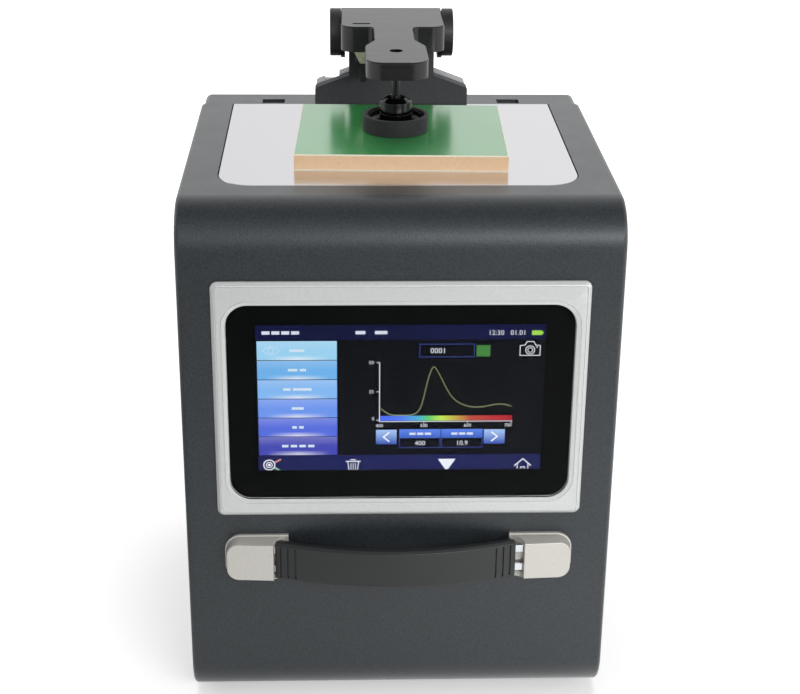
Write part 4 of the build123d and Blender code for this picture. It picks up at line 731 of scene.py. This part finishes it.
def menu_finish():
    """Six blocks from pale to deep blue, each with a soft light lens at its lower edge."""
    made = Finish("display_menu", "#000000", 0.5, specular=0.0)
    rows = 6
    top = SCREEN_Z + MENU_TOP * MM
    down = made.spread(made.axis("Z"), top, top - rows * MENU_PITCH * MM, 0.0, rows)
    tints = ["#97d0f0", "#68b0eb", "#7fb6f1", "#6793ed", "#4c67dc", "#343bb1"]
    stops = [(row / rows, tint) for row, tint in enumerate(tints)]
    base = made.shades(made.maths("DIVIDE", down, float(rows)), stops, steps=True)
    within = made.maths("FRACT", down, 0.0)
    middle = (MENU_LEFT + MENU_RIGHT) / 2 * MM
    across = made.maths("ABSOLUTE", made.maths("SUBTRACT", made.axis("X"), middle), 0.0)
    reach = made.spread(across, 0.0, 17.0 * MM, 1.0, 0.0)
    low = made.spread(within, 0.72, 0.97, 0.0, 0.75)
    lens = made.maths("MULTIPLY", reach, low)
    sheen = made.maths("MULTIPLY", made.spread(within, 0.0, 0.5, 0.12, 0.0), 1.0)
    weave = made.nodes.new("ShaderNodeTexWave")
    weave.inputs["Scale"].default_value = 220.0
    made.links.new(made.place, weave.inputs["Vector"])
    cells = made.spread(weave.outputs["Fac"], 0.0, 1.0, 0.0, 0.05)
    lift = made.maths("ADD", made.maths("MAXIMUM", lens, sheen), cells)
    made.drive("Emission Color", made.blend_colours(lift, base, "#ffffff"))
    made.shader.inputs["Emission Strength"].default_value = 1.0
    return made.material


def rainbow_finish():
    """Spectrum from violet-blue to red along the bottom of the chart."""
    made = Finish("display_rainbow", "#000000", 0.5, specular=0.0)
    along = made.spread(made.axis("X"), -11.1 * MM, 60.7 * MM, 0.0, 1.0)
    stops = [(0.0, "#4f6cf0"), (1.0, "#b0232f"), (0.16, "#5479f0"), (0.29, "#4fb2d8"), (0.37, "#62cf6c"),
             (0.47, "#c6e652"), (0.56, "#c4b24c"), (0.68, "#bb5040"), (0.85, "#bb3238")]
    made.drive("Emission Color", made.shades(along, stops))
    made.shader.inputs["Emission Strength"].default_value = 1.0
    return made.material


def banded_finish(name, low, high, top, bottom):
    """Glow that runs from one colour at its top to another at its bottom."""
    made = Finish(name, "#000000", 0.5, specular=0.0)
    down = made.spread(made.axis("Z"), SCREEN_Z + low * MM, SCREEN_Z + high * MM, 0.0, 1.0)
    made.drive("Emission Color", made.shades(down, [(0.0, bottom), (1.0, top)]))
    made.shader.inputs["Emission Strength"].default_value = 1.0
    return made.material


def navy_bars():
    """Title bar and bottom bar."""
    made = Finish("display_navy", "#000000", 0.5, specular=0.0)
    down = made.spread(made.axis("Z"), SCREEN_Z - 45.0 * MM, SCREEN_Z + 43.0 * MM, 0.0, 1.0)
    patch = made.noise(25.0, 1.0)
    tint = made.shades(down, [(0.0, "#1c2154"), (1.0, "#0c1132")])
    cloud = made.spread(patch, 0.4, 0.7, 0.0, 0.25)
    made.drive("Emission Color", made.blend_colours(cloud, tint, "#151b66"))
    made.shader.inputs["Emission Strength"].default_value = 1.0
    bars = [lit_box(-77.0, 77.0, 34.3, 42.9), lit_box(-77.0, 77.0, -44.9, -34.0)]
    return picture_piece("display_bars", bars, made.material)


def menu_blocks():
    blocks = [lit_box(MENU_LEFT, MENU_RIGHT, MENU_TOP - row * MENU_PITCH - MENU_HEIGHT,
                      MENU_TOP - row * MENU_PITCH, layer=1) for row in range(6)]
    return picture_piece("display_menu", blocks, menu_finish())


def menu_headings():
    """Plain bars where each block has its heading, and an eye in the first one."""
    bars = []
    middle = (MENU_LEFT + MENU_RIGHT) / 2
    for row, widths in enumerate(([8.0], [5.0, 3.5], [4.0, 10.0], [6.5], [2.5, 2.5], [3.5, 3.5, 3.5, 3.5])):
        height = MENU_TOP - row * MENU_PITCH - MENU_HEIGHT / 2
        left = middle - (sum(widths) + 1.2 * (len(widths) - 1)) / 2
        for width in widths:
            bars.append(lit_strip(left + width / 2, height, width, 1.5, layer=2))
            left += width + 1.2
    eye_x, eye_z = MENU_LEFT + 7.5, MENU_TOP - MENU_HEIGHT / 2
    for side in (-1, 1):
        bars += lit_line([(eye_x - 4.6, eye_z), (eye_x - 2.2, eye_z + side * 1.9),
                          (eye_x, eye_z + side * 2.5), (eye_x + 2.2, eye_z + side * 1.9),
                          (eye_x + 4.6, eye_z)], 0.28)
    bars.append(lit_ring(eye_x, eye_z, 1.5, 0.3))
    return picture_piece("display_headings", bars, lit("display_heading", "#d9ecfa", 0.92))


def chart_axes():
    """Axes, ticks, the figures on the scales and the marks in the bars."""
    marks = lit_line([(-11.2, -13.6), (-11.2, 21.0)], 0.45) + lit_line([(-11.2, -13.9), (60.7, -13.9)], 0.4)
    for tick_z in (21.0, 3.9, -13.0):
        marks += lit_line([(-12.6, tick_z), (-11.2, tick_z)], 0.4)
    for tick_x in (12.9, 36.6, 60.4):
        marks += lit_line([(tick_x, -13.9), (tick_x, -15.0)], 0.35)
    scales = [("50", -15.6, 21.0), ("25", -15.6, 3.9), ("0", -14.6, -12.2)]
    scales += [("400", -11.2, -16.4), ("500", 12.9, -16.4), ("600", 36.6, -16.4), ("700", 58.6, -16.4)]
    marks += [lit_number(digits, x, z, 1.9) for digits, x, z in scales]
    marks += [lit_number("400", 11.0, -27.1, 2.7), lit_number("10.9", 33.8, -27.1, 2.7)]
    marks += [lit_number("12:30", 50.6, 38.0, 2.7), lit_number("01.01", 62.4, 38.0, 2.7)]
    marks += [lit_number("0001", 20.0, 27.7, 3.0)]
    return picture_piece("display_scales", marks, lit("display_white", "#e9edf6"))


def title_headings():
    """Plain bars in the title bar and over the two readings."""
    bars = [lit_strip(x, 38.4, width, 1.9, layer=2) for x, width in
            ((-71.6, 4.2), (-66.4, 4.2), (-61.2, 4.2), (-56.0, 4.2), (-21.5, 5.2), (-10.5, 6.6))]
    bars += [lit_strip(x, -21.3, 3.4, 1.4, layer=3) for x in (6.8, 11.0, 15.2, 29.6, 33.8, 38.0)]
    return picture_piece("display_title", bars, lit("display_title_white", "#dfe6f5", 0.95))


def chart_curve():
    """The measured curve, one smooth line."""
    points = [(-10.6, -5.8), (-6.8, -9.8), (-1.0, -10.1), (4.9, -10.1), (8.3, -9.3), (10.7, -6.7),
              (12.4, -0.6), (14.3, 9.2), (15.8, 15.2), (17.7, 19.4), (19.6, 16.4), (22.5, 10.7),
              (25.3, 4.6), (28.2, 0.1), (31.0, -2.5), (35.2, -4.5), (39.3, -5.5), (44.9, -5.3),
              (50.4, -3.9), (54.5, -3.4), (58.0, -4.2), (60.1, -5.1)]
    line = bpy.data.curves.new("display_curve", "CURVE")
    line.dimensions = "3D"
    line.bevel_depth = 0.16 * MM
    line.bevel_resolution = 1
    line.resolution_u = 4
    path = line.splines.new("NURBS")
    path.points.add(len(points) - 1)
    for knot, (x, z) in zip(path.points, points):
        knot.co = (x * MM, LIT_FACE - 4 * LAYER, SCREEN_Z + z * MM, 1.0)
    path.order_u = 3
    path.use_endpoint_u = True
    piece = bpy.data.objects.new("display_curve", line)
    bpy.context.scene.collection.objects.link(piece)
    pick(piece)
    bpy.ops.object.convert(target="MESH")
    piece = settle(bpy.context.object, "display_curve")
    paint(piece, lit("display_curve", "#b9c98f", 0.9))
    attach(piece, "housing")
    return piece


def rainbow_bar():
    return picture_piece("display_rainbow", [lit_box(-11.0, 60.7, -13.5, -10.5, 1)], rainbow_finish())


def reading_boxes():
    """Two readings: a blue heading over a black field with a blue outline."""
    heads, frames = [], []
    for left, right in ((-0.4, 22.1), (22.5, 45.0)):
        heads.append(lit_box(left, right, -24.0, -18.6, 1))
        frames += lit_line([(left + 0.2, -24.0), (left + 0.2, -29.7),
                            (right - 0.2, -29.7), (right - 0.2, -24.0)], 0.35)
    frames += lit_line([(10.1, 24.2), (10.1, 31.6), (39.2, 31.6), (39.2, 24.2)], 0.35, closed=True)
    return [picture_piece("display_reading_heads", heads,
                          banded_finish("display_reading_head", -24.0, -18.6, "#5f86ea", "#3c62c6")),
            picture_piece("display_reading_frames", frames, lit("display_reading_frame", "#4458b8", 0.75))]


def arrow_keys():
    """Two keys with a pale top, and a chevron on each."""
    keys, chevrons = [], []
    for left, right, turn in ((-13.0, -1.8, -1), (45.7, 57.1, 1)):
        middle = (left + right) / 2
        keys.append(lit_box(left, right, -27.6, -18.9, 1))
        chevrons += lit_line([(middle - turn * 1.4, -20.6), (middle + turn * 1.6, -23.2),
                              (middle - turn * 1.4, -25.8)], 0.8)
    return [picture_piece("display_keys", keys,
                          banded_finish("display_key", -27.6, -18.9, "#a9c8f6", "#2f52b4")),
            picture_piece("display_chevrons", chevrons, lit("display_chevron", "#f2f7ff"))]


def pictograms():
    """Camera, target, bin, marker and house, as plain line drawings."""
    marks = []
    # camera
    marks += lit_line([(63.6, 24.9), (63.6, 30.6), (66.2, 30.9), (67.2, 32.9), (70.8, 32.9), (71.8, 30.9),
                       (74.3, 30.6), (74.3, 24.9)], 0.4, closed=True)
    marks += [lit_ring(69.0, 28.0, 2.4, 0.4), lit_ring(69.0, 28.0, 1.3, 0.35),
              lit_strip(72.6, 29.7, 0.7, 0.7, layer=2)]
    # target
    rings = ((3.0, 0.6), (1.6, 0.5), (0.4, 0.8))
    marks += [lit_ring(-71.2, -39.8, radius, width) for radius, width in rings]
    # bin
    marks += lit_line([(-28.3, -38.2), (-27.6, -43.9), (-23.2, -43.9), (-22.5, -38.2)], 0.5)
    marks += lit_line([(-29.3, -37.9), (-21.5, -37.9)], 0.6)
    marks += lit_line([(-26.6, -36.9), (-24.2, -36.9)], 0.6)
    for bar_x in (-26.6, -25.4, -24.2):
        marks += lit_line([(bar_x, -39.2), (bar_x, -42.8)], 0.4)
    # house
    marks += lit_line([(63.1, -41.0), (67.6, -36.9), (72.0, -41.0)], 0.6)
    marks += lit_line([(64.6, -40.4), (64.6, -44.6), (66.5, -44.6), (66.5, -41.9),
                       (68.6, -41.9), (68.6, -44.6), (70.5, -44.6), (70.5, -40.4)], 0.5)
    # marker
    marks.append(lit_shape([(25.8, -44.2), (30.6, -36.7), (20.9, -36.7)]))
    return picture_piece("display_pictograms", marks, lit("display_pictogram", "#eef2fb"))


def small_lights():
    """Colour patch, battery and the two strokes beside the target."""
    colour_patch = picture_piece("display_colour_patch", [lit_box(40.4, 47.7, 24.4, 30.8)],
                                 lit("display_colour_patch", "#45843e"))
    cell = [lit_box(69.6, 74.9, 36.7, 39.3, 2), lit_box(74.9, 75.6, 37.3, 38.7, 2)]
    battery = picture_piece("display_battery", cell, lit("display_battery", "#a3d84e"))
    red = picture_piece("display_red_stroke", lit_line([(-68.0, -38.2), (-65.2, -36.6)], 1.0),
                        lit("display_red", "#c98a83"))
    green = picture_piece("display_green_stroke", lit_line([(-68.0, -41.6), (-65.4, -43.4)], 1.0),
                          lit("display_green", "#8fc79a"))
    return [colour_patch, battery, red, green]


def glass_print():
    """Black print on the back of the touch glass, with the display's window in it."""
    low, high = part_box("touch_glass")
    bpy.ops.mesh.primitive_plane_add(size=1.0, location=(0.0, GLASS_BACK - 0.08 * MM, (low.z + high.z) / 2),
                                     rotation=(math.pi / 2, 0.0, 0.0))
    mask = bpy.context.object
    mask.scale = (high.x - low.x - 0.3 * MM, high.z - low.z - 0.3 * MM, 1.0)
    settle(mask, "glass_print")
    bpy.ops.object.mode_set(mode="EDIT")
    bpy.ops.mesh.select_all(action="SELECT")
    bpy.ops.mesh.bevel(offset=11.9 * MM, segments=10, affect="VERTICES")
    bpy.ops.mesh.select_all(action="SELECT")
    bpy.ops.mesh.extrude_region_move(TRANSFORM_OT_translate={"value": (0.0, 0.05 * MM, 0.0)})
    bpy.ops.mesh.select_all(action="SELECT")
    bpy.ops.mesh.normals_make_consistent(inside=False)
    bpy.ops.object.mode_set(mode="OBJECT")
    bpy.ops.mesh.primitive_cube_add(size=1.0, location=(0.0, GLASS_BACK, SCREEN_Z))
    window = bpy.context.object
    window.scale = (154.4 * MM, 1.0 * MM, 86.4 * MM)
    cut = mask.modifiers.new("window", "BOOLEAN")
    cut.object = window
    cut.operation = "DIFFERENCE"
    cut.solver = "EXACT"
    pick(mask)
    bpy.ops.object.modifier_apply(modifier=cut.name)
    bpy.data.objects.remove(window)
    made = Finish("glass_print", "#060708", 0.6, specular=0.0)
    made.mottle("#050606", "#080909", 200.0)
    paint(mask, made.material)
    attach(mask, "housing")
    return mask


def build_picture():
    navy_bars()
    menu_blocks()
    menu_headings()
    title_headings()
    rainbow_bar()
    reading_boxes()
    arrow_keys()
    chart_axes()
    chart_curve()
    pictograms()
    small_lights()
    glass_print()


# ------------------------------------------------------------------ the whole
ROUNDED = {
    "screen_bezel": 0.3, "clamp_arm": 0.5, "clamp_bracket": 0.6, "bracket_rear_plate": 0.4,
    "pin_cover_left": 0.4, "pin_cover_right": 0.4, "sample_board": 0.15, "port_plate": 0.15,
    "press_ring": 0.4, "press_shaft": 0.2, "hub_cap": 0.3, "press_cup": 0.2,
    "stop_bumper": 0.3, "stop_lever": 0.2,
    "handle_strap": 0.35, "handle_base_left": 0.4, "handle_base_right": 0.4,
    "handle_cap_left": 0.4, "handle_cap_right": 0.4,
}


def groove_bezel(bezel):
    """Cuts a fine groove round the bezel's flat front band, inside and out."""
    pick(bezel)
    bpy.ops.mesh.customdata_custom_splitnormals_clear()
    bpy.ops.object.mode_set(mode="EDIT")
    bpy.ops.mesh.select_all(action="DESELECT")
    bpy.ops.object.mode_set(mode="OBJECT")
    front = min(vertex.co.y for vertex in bezel.data.vertices)
    for face in bezel.data.polygons:
        face.select = face.normal.y < -0.999 and face.center.y < front + 0.01 * MM
    bpy.ops.object.mode_set(mode="EDIT")
    bpy.ops.mesh.quads_convert_to_tris()
    for thickness, depth in ((0.2, -0.35), (0.12, 0.0), (0.2, 0.35)):
        bpy.ops.mesh.inset(thickness=thickness * MM, depth=depth * MM)
    bpy.ops.object.mode_set(mode="OBJECT")
    smooth_roundings(bezel)


def set_springs():
    """Both springs as smoothed copies, the press spring with a mesh of its own."""
    press_coil = coiled("press_spring")
    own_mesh(press_coil)
    return {"press_spring": press_coil, "torsion_spring": coiled("torsion_spring")}


# rounded pieces whose finish differs a little from their slot's
OWN_FINISH = {"clamp_bracket": "bracket_paint", "press_shaft": "blued_steel"}

set_up_camera()
set_up_world()
set_up_floor()
set_up_light()
rounded_pieces = {node: softened(node, width) for node, width in ROUNDED.items()}
groove_bezel(rounded_pieces["screen_bezel"])
rounded_pieces.update(set_springs())
dress(make_finishes(), rounded_pieces)
build_picture()
bpy.context.scene.view_settings.view_transform = "Standard"
